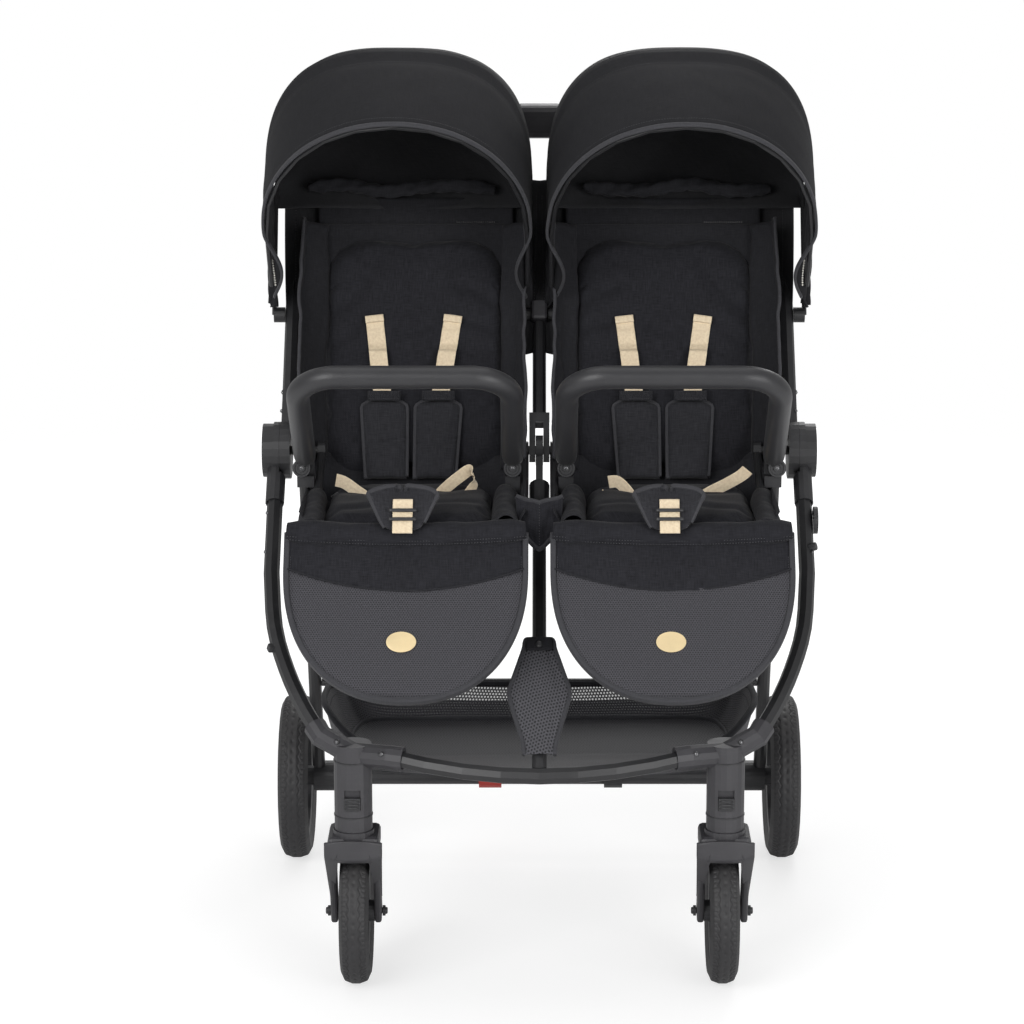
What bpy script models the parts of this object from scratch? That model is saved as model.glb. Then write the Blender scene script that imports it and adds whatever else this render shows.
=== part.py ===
"""Side-by-side double stroller: folding frame, two seats, two hoods, four wheels.

The front faces -Y, X is across, Z is up and the wheels stand on Z = 0. Left and right are as
seen from the front. An angle in the side view is measured from +Y (rearwards) towards +Z (up).
"""

from math import atan2, copysign, cos, hypot, pi, radians, sin, sqrt, tau

import bmesh
import bpy
import numpy as np
from mathutils import Matrix, Vector

# Overall layout, in metres
HINGE_Y = 0.030
HINGE_Z = 0.633
HANDLE_REACH = 0.526
HANDLE_ANGLE = radians(49.7)
REAR_AXLE_Y = 0.232
OUTER_TUBE_X = 0.3490
TUBE_STAGGER = 0.0140
GAP = 0.0003

# Frame tubes and hinges
TUBE_R = 0.0105
CENTRE_LEG_R = 0.0090
REAR_LEG_R = 0.0090
HANDLE_CORNER_R = 0.070
HOUSING_WIDTH = 0.068
HOUSING_DEPTH = 0.042
HOUSING_HEIGHT = 0.046
BUTTON_WIDTH = 0.020
BUTTON_HEIGHT = 0.0136
BUTTON_DEPTH = 0.0070
BUTTON_TRAVEL = 0.006
BUTTON_PROUD = 0.0002
HINGE_DISC_R = 0.038
HINGE_CAP_T = 0.0145
DISC_T = 0.0085
PIN_R = 0.006
CENTRE_EYE_R = 0.020
CENTRE_EYE_T = 0.010
CENTRE_NECK = 0.060
CENTRE_FORK_WIDTH = 0.027
FORK_FRONT = 0.052
FORK_BACK = 0.013
FORK_HEIGHT = 0.020
FORK_SLOT_R = 0.040
CENTRE_PIN_REACH = 0.0265
COLLAR_R = 0.0135
COLLAR_LENGTH = 0.045
SLEEVE_WALL = 0.002
SLEEVE_LENGTH = 0.050
SLEEVE_STOP = 0.003
SLEEVE_ROOM = 0.008
CAP_STEP = 0.0023
POST_LENGTH = 0.400
UPPER_TUBE_X = OUTER_TUBE_X - TUBE_STAGGER
REAR_LEG_X = UPPER_TUBE_X - 0.0215
REAR_EYE_R = 0.018
SLEEVE_R = TUBE_R + SLEEVE_WALL

# Casters and front wheels
FRONT_WHEEL_R = 0.0915
FRONT_WHEEL_T = 0.038
FRONT_TYRE_DEPTH = 0.022
WHEEL_STEPS = 24
SPOKES = 5
TRAIL = 0.045
FORK_GAP = 0.047
FORK_WALL = 0.009
BLADE_DEPTH = 0.030
CROWN_T = 0.026
AXLE_R = 0.004
CASTER_X = OUTER_TUBE_X - 0.114
CASTER_Y = -0.310
CASTER_R = 0.024
FORK_CROWN_Z = 2 * FRONT_WHEEL_R + 0.006
CASTER_SPLIT = FORK_CROWN_Z + 0.0295
CASTER_TOP = CASTER_SPLIT + 0.1125
SWIVEL_PIN_LENGTH = 0.045
LOCK_HEIGHT = 0.043
LOCK_WIDTH = 0.0195
LOCK_LENGTH = 0.0165
LOCK_TRAVEL = 0.009
SADDLE_X = CASTER_X - 0.047
SADDLE_Y = CASTER_Y - 0.025
SADDLE_Z = CASTER_TOP - 0.011
SOCKET_WALL = 0.0045
CROSS_FRONT_Y = SADDLE_Y - 0.0455
CROSS_FRONT_Z = SADDLE_Z - 0.011
LEG_FOOT_Y = CASTER_Y - 0.0017
LEG_FOOT_Z = CASTER_TOP + 0.0092

# Rear wheels, axle and brake
REAR_WHEEL_R = 0.114
REAR_WHEEL_T = 0.042
REAR_TYRE_DEPTH = 0.026
REAR_WHEEL_X = OUTER_TUBE_X - 0.0045
HUB_R = 0.0215
HUB_INNER_X = REAR_LEG_X - 0.0295
HUB_OUTER_X = REAR_WHEEL_X - REAR_WHEEL_T / 2 - 0.003
AXLE_BEAM_R = 0.0125
BEAM_SEAT = 0.017
PEDAL_X = -0.070
RELEASE_X = 0.105
PEDAL_WIDTH = 0.032
PEDAL_LENGTH = 0.040
PEDAL_T = 0.008

# Seats
SEAT_FRAME_R = 0.0055
SEAT_FRAME_X = REAR_LEG_X - 0.0235
SEAT_INNER_X = 0.0195
SEAT_EYE_R = 0.012
SEAT_CORNER_R = 0.016
SEAT_X = (SEAT_FRAME_X + SEAT_INNER_X) / 2 + 0.01425
SEAT_TOP_Z = HINGE_Z - 0.041
SEAT_ARM_Z = SEAT_TOP_Z + 0.012
SEAT_FRONT_Y = HINGE_Y - 0.230
SEAT_THICKNESS = 0.034
SEAT_FRONT_HALF = 0.0148
SEAT_TUBE_BACK = 0.028
RECLINE_Y = HINGE_Y + 0.020
RECLINE_Z = SEAT_TOP_Z - 0.014
SEAT_BACK_Y = RECLINE_Y - 0.017
BACK_WIDTH = SEAT_FRAME_X - SEAT_INNER_X - 0.0005
BACK_LENGTH = 0.410
BACK_THICKNESS = 0.034
BACK_CROWN = 0.007
BACK_ANGLE = radians(62)
HARNESS_DIP = 0.0010
LEG_REST_MARGIN = 0.0235
LEG_REST_WIDTH = 2 * (SEAT_X - LEG_REST_MARGIN)
LEG_REST_LENGTH = 0.230
LEG_REST_T = 0.012
LEG_REST_ANGLE = radians(232)
LEG_REST_Y = SEAT_FRONT_Y - 0.0052
LEG_REST_Z = SEAT_TOP_Z - 0.016
LEG_REST_CORNER = 0.135

# Belly bars
BAR_FOAM_R = 0.0145
BAR_OUTER_X = SEAT_FRAME_X + 0.017
BAR_INNER_X = SEAT_INNER_X + 0.0155
BAR_START = 0.006
BAR_REACH = 0.222
BAR_ANGLE = radians(138)
BAR_CORNER_R = 0.048
BAR_PIVOT_Y = HINGE_Y - 0.070
BAR_PIVOT_Z = HINGE_Z - 0.003
DISC_R = 0.0115
SOCKET_TOP = BAR_PIVOT_Z - DISC_R - 0.0035
SOCKET_HEIGHT = 0.031
EAR_BLOCK_HEIGHT = 0.015
SOCKET_DEPTH = 0.016
SOCKET_EAR_T = 0.004
BAR_HEAD_T = 0.011
PLUG_WIDTH = 0.009
PLUG_T = 0.007
PLUG_DEPTH = 0.014
PLUG_PLAY = 0.0017
SOCKET_INNER_HALF = BAR_INNER_X - SEAT_INNER_X - SEAT_FRAME_R - GAP
SOCKET_OUTER_HALF = BAR_OUTER_X - SEAT_FRAME_X - SEAT_FRAME_R - GAP
CUSHION_INNER = BAR_INNER_X + SOCKET_INNER_HALF + 0.0013
CUSHION_OUTER = SEAT_FRAME_X - SEAT_FRAME_R - 0.002

# Hoods
HOOD_REACH = 0.2086
HOOD_CLAMP_WIDTH = 0.0226
HOOD_OUTER_X = UPPER_TUBE_X + TUBE_R + 0.0150
HOOD_INNER_X = HOOD_CLAMP_WIDTH / 2 + 0.0045
HOOD_X = (HOOD_OUTER_X + HOOD_INNER_X) / 2
HOOD_BOW_WIDTH = HOOD_OUTER_X - HOOD_INNER_X
CANOPY_OUT = 0.0056
CANOPY_SAG = 0.006
CANOPY_T = 0.004
CANOPY_FOOT = 0.060
REAR_BOW_DROP = 0.012
BOW_FOOT = 0.060
SQUARE_BOW = 0.70
ROUND_BOW = 0.96
HOOD_Y = HINGE_Y + HOOD_REACH * cos(HANDLE_ANGLE)
HOOD_Z = HINGE_Z + HOOD_REACH * sin(HANDLE_ANGLE)
HOOD_R = 0.3655
HOOD_SIDE = 0.165
HOOD_REAR_ANGLE = radians(66)
HOOD_MIDDLE_ANGLE = radians(101)
HOOD_FRONT_ANGLE = radians(129)
BOW_R = 0.0032
CLIP_R = 0.0105
CLIP_T = 0.0150

# Basket
BASKET_FLOOR_Z = 0.222
BASKET_FLOOR_RISE = 0.081
BASKET_FLOOR_BEND = 1.25
BASKET_REAR_Z = 0.270
BASKET_BAR_R = 0.0055
BASKET_HANG = 0.006
BASKET_WALL = 0.004
BASKET_MIDDLE_Y = -0.08
PANEL_WIDTH = 0.080
PANEL_END = 0.039
PANEL_LENGTH = 0.178
PANEL_FOOT = 0.498
PANEL_T = 0.004
LATCH_REACH = 0.115
LATCH_R = 0.018
LATCH_T = 0.0057

LEG_ANGLE = pi + atan2(HINGE_Z - LEG_FOOT_Z, HINGE_Y - LEG_FOOT_Y)
LEG_LENGTH = hypot(HINGE_Z - LEG_FOOT_Z, HINGE_Y - LEG_FOOT_Y)
CENTRE_LEG_ANGLE = pi + atan2(HINGE_Z - CROSS_FRONT_Z, HINGE_Y - CROSS_FRONT_Y)
SIDES = (("left", -1), ("right", 1))


def hinge_point(reach, angle, across=0.0):
    """Point at a reach and side-view angle from the main hinge axis."""
    return Vector((across, HINGE_Y + reach * cos(angle), HINGE_Z + reach * sin(angle)))


def side_point(start_y, start_z, reach, angle, across=0.0):
    """Point at a reach and side-view angle from any place in the side view."""
    return Vector((across, start_y + reach * cos(angle), start_z + reach * sin(angle)))


def fresh_scene():
    """Removes what the scene holds and makes the two collections."""
    for old in list(bpy.data.objects):
        bpy.data.objects.remove(old, do_unlink=True)
    made = []
    for name in ("double_stroller", "double_stroller_cutters"):
        group = bpy.data.collections.new(name)
        bpy.context.scene.collection.children.link(group)
        made.append(group)
    return made


PARTS, CUTTERS = fresh_scene()


def material(name, colour, roughness, metallic=0.0):
    """Principled material with the piece's colour, roughness and metallic value."""
    made = bpy.data.materials.new(name)
    made.use_nodes = True
    shader = made.node_tree.nodes["Principled BSDF"]
    shader.inputs["Base Color"].default_value = (*colour, 1.0)
    shader.inputs["Roughness"].default_value = roughness
    shader.inputs["Metallic"].default_value = metallic
    return made


LOOKS = {
    "tube": ((0.020, 0.021, 0.022), 0.38, 0.6),
    "plastic": ((0.030, 0.031, 0.034), 0.50, 0.0),
    "foam": ((0.022, 0.022, 0.024), 0.75, 0.0),
    "fabric": ((0.016, 0.016, 0.019), 0.92, 0.0),
    "mesh": ((0.040, 0.041, 0.046), 0.85, 0.0),
    "rubber": ((0.025, 0.027, 0.031), 0.70, 0.0),
    "rim": ((0.015, 0.015, 0.016), 0.45, 0.0),
    "red": ((0.450, 0.015, 0.012), 0.45, 0.0),
    "steel": ((0.120, 0.120, 0.125), 0.30, 0.9),
}


def finish(made, look):
    """Gives the piece its own material and shades its round faces smooth."""
    colour, roughness, metallic = LOOKS[look]
    made.data.materials.clear()
    made.data.materials.append(material(made.name, colour, roughness, metallic))
    if made.type == "MESH":
        made.data.shade_smooth()
        made.data.set_sharp_from_angle(angle=radians(35))
    return made


def add_mesh(name, bm, look=None):
    """Puts a bmesh in the scene as a part, or as a hidden cutter when it has no look."""
    mesh = bpy.data.meshes.new(name)
    bm.to_mesh(mesh)
    bm.free()
    made = bpy.data.objects.new(name, mesh)
    if look is None:
        CUTTERS.objects.link(made)
        hide(made)
        return made
    PARTS.objects.link(made)
    return finish(made, look)


def hide(made):
    """Marks an object as a cutter or guide, which is not part of the stroller."""
    made.hide_render = True
    made.display_type = "WIRE"
    return made


def mirrored(points, side):
    """The same points on the chosen side, where -1 is left and 1 is right."""
    return [Vector((p[0] * side, p[1], p[2])) for p in points]


def rounded_path(corners, radius, steps=4):
    """Polyline through corners, each inner corner replaced by an arc of the given radius."""
    path = [Vector(corners[0])]
    for before, corner, after in zip(corners, corners[1:], corners[2:]):
        corner = Vector(corner)
        back = (Vector(before) - corner).normalized()
        ahead = (Vector(after) - corner).normalized()
        half = back.angle(ahead) / 2
        reach = radius / np.tan(half)
        centre = corner + (back + ahead).normalized() * (radius / sin(half))
        start = (corner + back * reach - centre).normalized()
        end = (corner + ahead * reach - centre).normalized()
        for step in range(steps + 1):
            path.append(centre + start.slerp(end, step / steps) * radius)
    path.append(Vector(corners[-1]))
    return path


def eased_path(points, steps=3):
    """Smooth curve through the points (Catmull-Rom), read at even steps between them."""
    ends = [2 * Vector(points[0]) - Vector(points[1])]
    ends += [Vector(p) for p in points]
    ends.append(2 * Vector(points[-1]) - Vector(points[-2]))
    path = []
    for a, b, c, d in zip(ends, ends[1:], ends[2:], ends[3:]):
        for step in range(steps):
            t = step / steps
            path.append(0.5 * (2 * b + (c - a) * t + (2 * a - 5 * b + 4 * c - d) * t ** 2
                               + (3 * b - a - 3 * c + d) * t ** 3))
    path.append(Vector(points[-1]))
    return path


def tube(name, path, radius, look=None, sides=8):
    """Round bar along a path, as a curve object with filled caps."""
    data = bpy.data.curves.new(name, "CURVE")
    data.dimensions = "3D"
    data.bevel_depth = radius
    data.bevel_resolution = sides // 2 - 2
    data.use_fill_caps = True
    line = data.splines.new("POLY")
    line.points.add(len(path) - 1)
    for spot, place in zip(line.points, path):
        spot.co = (*place, 1.0)
    made = bpy.data.objects.new(name, data)
    if look is None:
        CUTTERS.objects.link(made)
        return hide(made)
    PARTS.objects.link(made)
    return finish(made, look)


def room(radius, sides=12):
    """Radius of a faceted bore whose flats stay a gap clear of a bar of the given radius."""
    return (radius + GAP) / cos(pi / sides)


def solid_tube(name, path, radius, look=None, sides=8):
    """The same bar as a welded mesh, for a piece that is cut, joined or used as a cutter."""
    bar = tube(name + "_curve", path, radius, None, sides)
    bpy.context.view_layer.update()
    seen = bar.evaluated_get(bpy.context.evaluated_depsgraph_get())
    mesh = bpy.data.meshes.new_from_object(seen)
    mesh.name = name
    place = bar.matrix_world.copy()
    bpy.data.objects.remove(bar, do_unlink=True)
    bm = bmesh.new()
    bm.from_mesh(mesh)
    bpy.data.meshes.remove(mesh)
    bmesh.ops.remove_doubles(bm, verts=bm.verts, dist=0.00002)
    bmesh.ops.recalc_face_normals(bm, faces=bm.faces)
    made = add_mesh(name, bm, look)
    made.matrix_world = place
    return made


def round_bar(name, start, end, radius, look=None, sides=16):
    """Straight cylinder between two points."""
    start, end = Vector(start), Vector(end)
    bm = bmesh.new()
    turn = (end - start).to_track_quat("Z", "Y").to_matrix().to_4x4()
    bmesh.ops.create_cone(bm, cap_ends=True, segments=sides, radius1=radius, radius2=radius,
                          depth=(end - start).length,
                          matrix=Matrix.Translation((start + end) / 2) @ turn)
    return add_mesh(name, bm, look)


def disc(name, x_from, x_to, centre_y, centre_z, radius, look=None, sides=24):
    """Cylinder across the stroller between two values of X."""
    return round_bar(name, (x_from, centre_y, centre_z), (x_to, centre_y, centre_z), radius, look,
                     sides)


def block(name, size, centre, look=None, tilt=0.0, bevel=0.0):
    """Box with a tilt about X, its edges rounded when bevel is given."""
    bm = bmesh.new()
    bmesh.ops.create_cube(bm, size=1.0)
    bmesh.ops.scale(bm, vec=size, verts=bm.verts)
    if bevel:
        bmesh.ops.bevel(bm, geom=bm.edges[:], offset=bevel, segments=2, profile=0.5, affect="EDGES")
    placed = Matrix.Translation(centre) @ Matrix.Rotation(tilt, 4, "X")
    bmesh.ops.transform(bm, matrix=placed, verts=bm.verts)
    return add_mesh(name, bm, look)


def join(part, *others, operation="UNION"):
    """Joins hidden bodies to a part with live Booleans."""
    for other in others:
        change = part.modifiers.new(other.name, "BOOLEAN")
        change.operation = operation
        change.solver = "EXACT"
        change.object = other


def cut(part, *cutters):
    """Cuts hidden bodies out of a part."""
    join(part, *cutters, operation="DIFFERENCE")


def turned(name, profile, centre, look=None, steps=24):
    """Turned piece on an axis across the stroller: a closed (radius, across) profile, screwed."""
    bm = bmesh.new()
    spots = [bm.verts.new((radius, 0.0, across)) for radius, across in profile]
    for first, second in zip(spots, spots[1:] + spots[:1]):
        bm.edges.new((first, second))
    made = add_mesh(name, bm, look)
    spin = made.modifiers.new("turn", "SCREW")
    spin.axis = "Z"
    spin.steps = steps
    spin.render_steps = steps
    spin.use_merge_vertices = True
    spin.merge_threshold = 0.00001
    spin.use_normal_calculate = True
    made.matrix_world = (Matrix.Translation(centre) @ Matrix.Rotation(pi / 2, 4, "Y")
                         @ Matrix.Rotation(pi / steps, 4, "Z"))
    return made


def outline_plate(name, outline, thickness, place, look):
    """Flat plate of a closed outline, its middle plane placed by a matrix."""
    data = bpy.data.curves.new(name, "CURVE")
    data.dimensions = "2D"
    data.fill_mode = "BOTH"
    data.extrude = thickness / 2
    line = data.splines.new("POLY")
    line.points.add(len(outline) - 1)
    for spot, (across, along) in zip(line.points, outline):
        spot.co = (across, along, 0.0, 1.0)
    line.use_cyclic_u = True
    made = bpy.data.objects.new(name, data)
    made.matrix_world = place
    PARTS.objects.link(made)
    finish(made, look)


def lying_plane(start, angle):
    """Matrix of a plane through a point, whose X is across and Y runs at a side-view angle."""
    along = Vector((0.0, cos(angle), sin(angle)))
    across = Vector((1.0, 0.0, 0.0))
    rows = Matrix((across, along, across.cross(along))).transposed()
    return Matrix.Translation(start) @ rows.to_4x4()


def lofted(name, rings, look=None):
    """Skin over equal rings of points, each ring closed, with its ends capped."""
    bm = bmesh.new()
    made = [[bm.verts.new(p) for p in ring] for ring in rings]
    for one, two in zip(made, made[1:]):
        for k in range(len(one)):
            n = (k + 1) % len(one)
            bm.faces.new((one[k], one[n], two[n], two[k]))
    bm.faces.new(made[0])
    bm.faces.new(made[-1])
    bmesh.ops.recalc_face_normals(bm, faces=bm.faces)
    return add_mesh(name, bm, look)


def thicken(piece, thickness):
    """Gives an open surface its wall, half of it on each side."""
    wall = piece.modifiers.new("cloth", "SOLIDIFY")
    wall.thickness = thickness
    wall.offset = 0.0


def sheet(name, rows, thickness, look):
    """Open surface through rows of points, thickened both ways."""
    bm = bmesh.new()
    made = [[bm.verts.new(p) for p in row] for row in rows]
    for one, two in zip(made, made[1:]):
        for k in range(len(one) - 1):
            bm.faces.new((one[k], one[k + 1], two[k + 1], two[k]))
    bmesh.ops.recalc_face_normals(bm, faces=bm.faces)
    thicken(add_mesh(name, bm, look), thickness)


def pad(name, width, length, thickness, place, look, crown=0.006, along=11, channels=()):
    """Sewn cushion: a box grid whose faces crown and whose sides draw in between its corners.

    Channels are places along the length, from 0 to 1, where a sewn line presses the top in.
    """
    across = 9
    pull = 0.006
    sewn = 0.006
    sewn_width = 0.09
    edge = 0.45
    u = np.linspace(-1, 1, across)
    v = np.linspace(-1, 1, along)
    rings = []
    for vk in v:
        fade = 1 - abs(vk) ** 6
        half = width / 2 - pull * (1 - vk ** 2)
        dip = sum(np.exp(-((vk - (2 * c - 1)) / sewn_width) ** 2) for c in channels)
        rise = thickness / 2 * (edge + (1 - edge) * fade)
        shape = edge + (1 - edge) * (1 - np.abs(u) ** 6)
        top = rise * shape + crown * (1 - u ** 2) * (1 - vk ** 2) - sewn * dip * (1 - u ** 4)
        bottom = -rise * shape
        y = vk * (length / 2 - pull * (1 - u ** 2))
        ring = [place @ Vector((u[i] * half, y[i], top[i])) for i in range(across)]
        ring += [place @ Vector((u[i] * half, y[i], bottom[i])) for i in range(across)[::-1]]
        rings.append(ring)
    bm = bmesh.new()
    made = [[bm.verts.new(p) for p in ring] for ring in rings]
    count = 2 * across
    for one, two in zip(made, made[1:]):
        for k in range(count):
            n = (k + 1) % count
            bm.faces.new((one[k], one[n], two[n], two[k]))
    for ring in (made[0], made[-1]):
        for i in range(across - 1):
            bm.faces.new((ring[i], ring[i + 1], ring[count - 2 - i], ring[count - 1 - i]))
    bmesh.ops.recalc_face_normals(bm, faces=bm.faces)
    return add_mesh(name, bm, look)


def lower_leg_path(side):
    """Front leg: straight down from the hinge, then curving in to the caster bracket."""
    high = hinge_point(HINGE_DISC_R + SLEEVE_STOP, LEG_ANGLE, OUTER_TUBE_X)
    bends = ((0.250, 0.0010), (0.165, 0.009), (0.100, 0.027), (0.045, 0.050), (0.0, 0.0745))
    points = [high] + [hinge_point(LEG_LENGTH - back, LEG_ANGLE, OUTER_TUBE_X - inset)
                       for back, inset in bends]
    return mirrored([points[0]] + eased_path(points[1:], 3), side)


def cross_path():
    """Front cross tube: a shallow bow forward between the caster brackets."""
    points = []
    for step in range(9):
        t = step / 8
        bow = 4 * t * (1 - t)
        points.append(Vector(((2 * t - 1) * SADDLE_X, SADDLE_Y + (CROSS_FRONT_Y - SADDLE_Y) * bow,
                              SADDLE_Z + (CROSS_FRONT_Z - SADDLE_Z) * bow)))
    return points


def hinge_disc(name, x_from, x_to, radius, look=None, sides=12):
    """Cylinder on the main hinge axis."""
    return disc(name, x_from, x_to, HINGE_Y, HINGE_Z, radius, look, sides)


def hinge_sleeve(name, angle, x):
    """Sleeve that leaves a hinge disc at an angle, and the bore that its tube stands in."""
    reaches = ((HINGE_DISC_R / 2, HINGE_DISC_R + SLEEVE_LENGTH),
               (HINGE_DISC_R + SLEEVE_STOP - GAP, HINGE_DISC_R + SLEEVE_LENGTH + SLEEVE_ROOM))
    (start, end), (bore_start, bore_end) = reaches
    sleeve = solid_tube(name, [hinge_point(start, angle, x), hinge_point(end, angle, x)], SLEEVE_R,
                        sides=12)
    bore = solid_tube(name + "_bore", [hinge_point(bore_start, angle, x),
                                       hinge_point(bore_end, angle, x)], room(TUBE_R), sides=12)
    return sleeve, bore


def front_frame():
    """Legs, cross tube, caster brackets, lower hinge halves and the centre leg."""
    for side_name, side in SIDES:
        leg = lower_leg_path(side)
        knuckle = hinge_disc("hinge_lower_" + side_name, side * (OUTER_TUBE_X - DISC_T / 2),
                             side * (OUTER_TUBE_X + DISC_T / 2), HINGE_DISC_R, "plastic", 24)
        cap = hinge_disc("cap_" + side_name, side * (OUTER_TUBE_X + DISC_T / 2 - GAP),
                         side * (OUTER_TUBE_X + DISC_T / 2 + HINGE_CAP_T), HINGE_DISC_R - CAP_STEP,
                         sides=24)
        pin = hinge_disc("pin_" + side_name, side * (SEAT_FRAME_X - SEAT_FRAME_R),
                         side * OUTER_TUBE_X, PIN_R)
        sleeve, bore = hinge_sleeve("lower_sleeve_" + side_name, LEG_ANGLE, side * OUTER_TUBE_X)
        clear = hinge_disc("upper_room_" + side_name, side * (UPPER_TUBE_X - HINGE_DISC_R),
                           side * (OUTER_TUBE_X - DISC_T / 2 + GAP), HINGE_DISC_R + SLEEVE_ROOM,
                           sides=32)
        cut(sleeve, bore, clear)
        join(knuckle, cap, pin, sleeve)
        tube("front_leg_" + side_name, leg, TUBE_R, "tube")
        caster_bracket(side_name, side, leg)
    tube("front_cross_tube", cross_path(), TUBE_R, "tube")
    centre_leg()


def caster_bracket(side_name, side, leg):
    """Moulded bracket that takes the leg and the cross tube and carries the swivel housing."""
    x = side * CASTER_X
    body = round_bar("caster_bracket_" + side_name, (x, CASTER_Y, CASTER_SPLIT + GAP),
                     (x, CASTER_Y, CASTER_TOP), CASTER_R, "plastic", sides=20)
    cross = cross_path()[::-side]
    middle = Vector((x, CASTER_Y, SADDLE_Z - 0.004))
    inner_end = cross[0] + Vector((-side * 0.018, -0.004, -0.001))
    arm_r = TUBE_R + SOCKET_WALL
    arm_out = solid_tube("arm_out_" + side_name, [middle, leg[-1], leg[-2]], arm_r, sides=12)
    arm_in = solid_tube("arm_in_" + side_name, [middle, cross[0], inner_end], arm_r, sides=12)
    leg_way = solid_tube("leg_way_" + side_name, leg[:-5:-1], room(TUBE_R), sides=12)
    cross_way = solid_tube("cross_way_" + side_name, cross[:3], room(TUBE_R), sides=12)
    join(body, arm_out, arm_in)
    cut(body, leg_way, cross_way)
    slot = block("lock_slot_" + side_name, (LOCK_WIDTH + 0.001, 0.012, LOCK_LENGTH + LOCK_TRAVEL + 0.001),
                 (x, CASTER_Y - CASTER_R, CASTER_SPLIT + LOCK_HEIGHT))
    bore = round_bar("swivel_bore_" + side_name, (x, CASTER_Y, CASTER_SPLIT - 0.01),
                     (x, CASTER_Y, CASTER_SPLIT + SWIVEL_PIN_LENGTH + 0.005), room(PIN_R), sides=12)
    cut(body, slot, bore)


def centre_leg():
    """Centre leg with its hinge eye, from the centre hinge down to the cross tube."""
    foot = side_point(CROSS_FRONT_Y, CROSS_FRONT_Z, 0.002, CENTRE_LEG_ANGLE - pi)
    leg = solid_tube("centre_leg", [hinge_point(CENTRE_NECK + 0.012, CENTRE_LEG_ANGLE), foot],
                     CENTRE_LEG_R, "tube", sides=12)
    foot_cut = solid_tube("centre_foot_cut", cross_path(), room(TUBE_R), sides=12)
    eye = hinge_disc("centre_eye", -CENTRE_EYE_T / 2, CENTRE_EYE_T / 2, CENTRE_EYE_R, sides=20)
    neck = block("centre_neck", (CENTRE_EYE_T - 2 * GAP, CENTRE_NECK + 0.010, 0.0176),
                 hinge_point(CENTRE_NECK / 2, CENTRE_LEG_ANGLE), tilt=CENTRE_LEG_ANGLE)
    collar = solid_tube("centre_collar", [
        hinge_point(CENTRE_NECK, CENTRE_LEG_ANGLE),
        hinge_point(CENTRE_NECK + COLLAR_LENGTH, CENTRE_LEG_ANGLE)], COLLAR_R, sides=12)
    pin = hinge_disc("centre_pin", -CENTRE_PIN_REACH, CENTRE_PIN_REACH, PIN_R)
    join(leg, collar, neck, eye, pin)
    cut(leg, foot_cut)


def upper_frame():
    """Upper tubes with the handle bar, upper hinge halves, handle fittings and centre post."""
    low = hinge_point(HINGE_DISC_R + SLEEVE_STOP, HANDLE_ANGLE, UPPER_TUBE_X)
    top = hinge_point(HANDLE_REACH, HANDLE_ANGLE, UPPER_TUBE_X)
    corners = [mirrored([low], -1)[0], mirrored([top], -1)[0], top, low]
    tube("handle_tube", rounded_path(corners, HANDLE_CORNER_R, 5), TUBE_R, "tube")
    for side_name, side in SIDES:
        inner_face = UPPER_TUBE_X - DISC_T / 2
        outer_face = OUTER_TUBE_X - DISC_T / 2 - GAP
        knuckle = hinge_disc("hinge_upper_" + side_name, side * inner_face, side * outer_face,
                             HINGE_DISC_R, "plastic", 24)
        sleeve, bore = hinge_sleeve("upper_sleeve_" + side_name, HANDLE_ANGLE, side * UPPER_TUBE_X)
        trim = hinge_disc("sleeve_trim_" + side_name, side * outer_face,
                          side * (outer_face + HINGE_DISC_R), HINGE_DISC_R + SLEEVE_LENGTH, sides=24)
        pin_hole = hinge_disc("pin_hole_" + side_name, side * (inner_face - HINGE_DISC_R),
                              side * (outer_face + HINGE_DISC_R), room(PIN_R))
        join(knuckle, sleeve)
        cut(knuckle, bore, trim, pin_hole)
    handle_fittings()
    centre_post()


def handle_fittings():
    """Fold-release housing in the middle of the bar and its slide button."""
    bar = hinge_point(HANDLE_REACH, HANDLE_ANGLE)
    face = bar + Vector((0.0, HOUSING_DEPTH / 2, 0.0))
    housing = block("fold_release_housing", (HOUSING_WIDTH, HOUSING_DEPTH, HOUSING_HEIGHT),
                    (0.0, bar.y, bar.z - 0.003), "plastic", bevel=0.008)
    way = disc("housing_way", -HOUSING_WIDTH, HOUSING_WIDTH, bar.y, bar.z, room(TUBE_R, 16), sides=16)
    recess = block("button_recess", (BUTTON_WIDTH + BUTTON_TRAVEL + 2 * GAP, 2 * BUTTON_DEPTH,
                                     BUTTON_HEIGHT + 0.001), face)
    cut(housing, way, recess)
    button = face - Vector((BUTTON_TRAVEL / 2, BUTTON_DEPTH / 2 - BUTTON_PROUD, 0.0))
    block("fold_release_button", (BUTTON_WIDTH, BUTTON_DEPTH, BUTTON_HEIGHT), button, "plastic",
          bevel=0.0015)


def centre_post():
    """Centre post with its forked eye, and the two-way hood bracket clamped round it."""
    post = round_bar("centre_post", hinge_point(FORK_FRONT - 0.009, HANDLE_ANGLE),
                     hinge_point(POST_LENGTH, HANDLE_ANGLE), CENTRE_LEG_R, "tube", sides=12)
    fork = block("post_fork", (CENTRE_FORK_WIDTH, FORK_FRONT + FORK_BACK, FORK_HEIGHT),
                 hinge_point((FORK_FRONT - FORK_BACK) / 2, HANDLE_ANGLE), tilt=HANDLE_ANGLE)
    slot = hinge_disc("fork_slot", -CENTRE_EYE_T / 2 - GAP, CENTRE_EYE_T / 2 + GAP, FORK_SLOT_R,
                      sides=20)
    hole = hinge_disc("fork_hole", -CENTRE_FORK_WIDTH, CENTRE_FORK_WIDTH, room(PIN_R))
    join(post, fork)
    cut(post, slot, hole)


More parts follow.
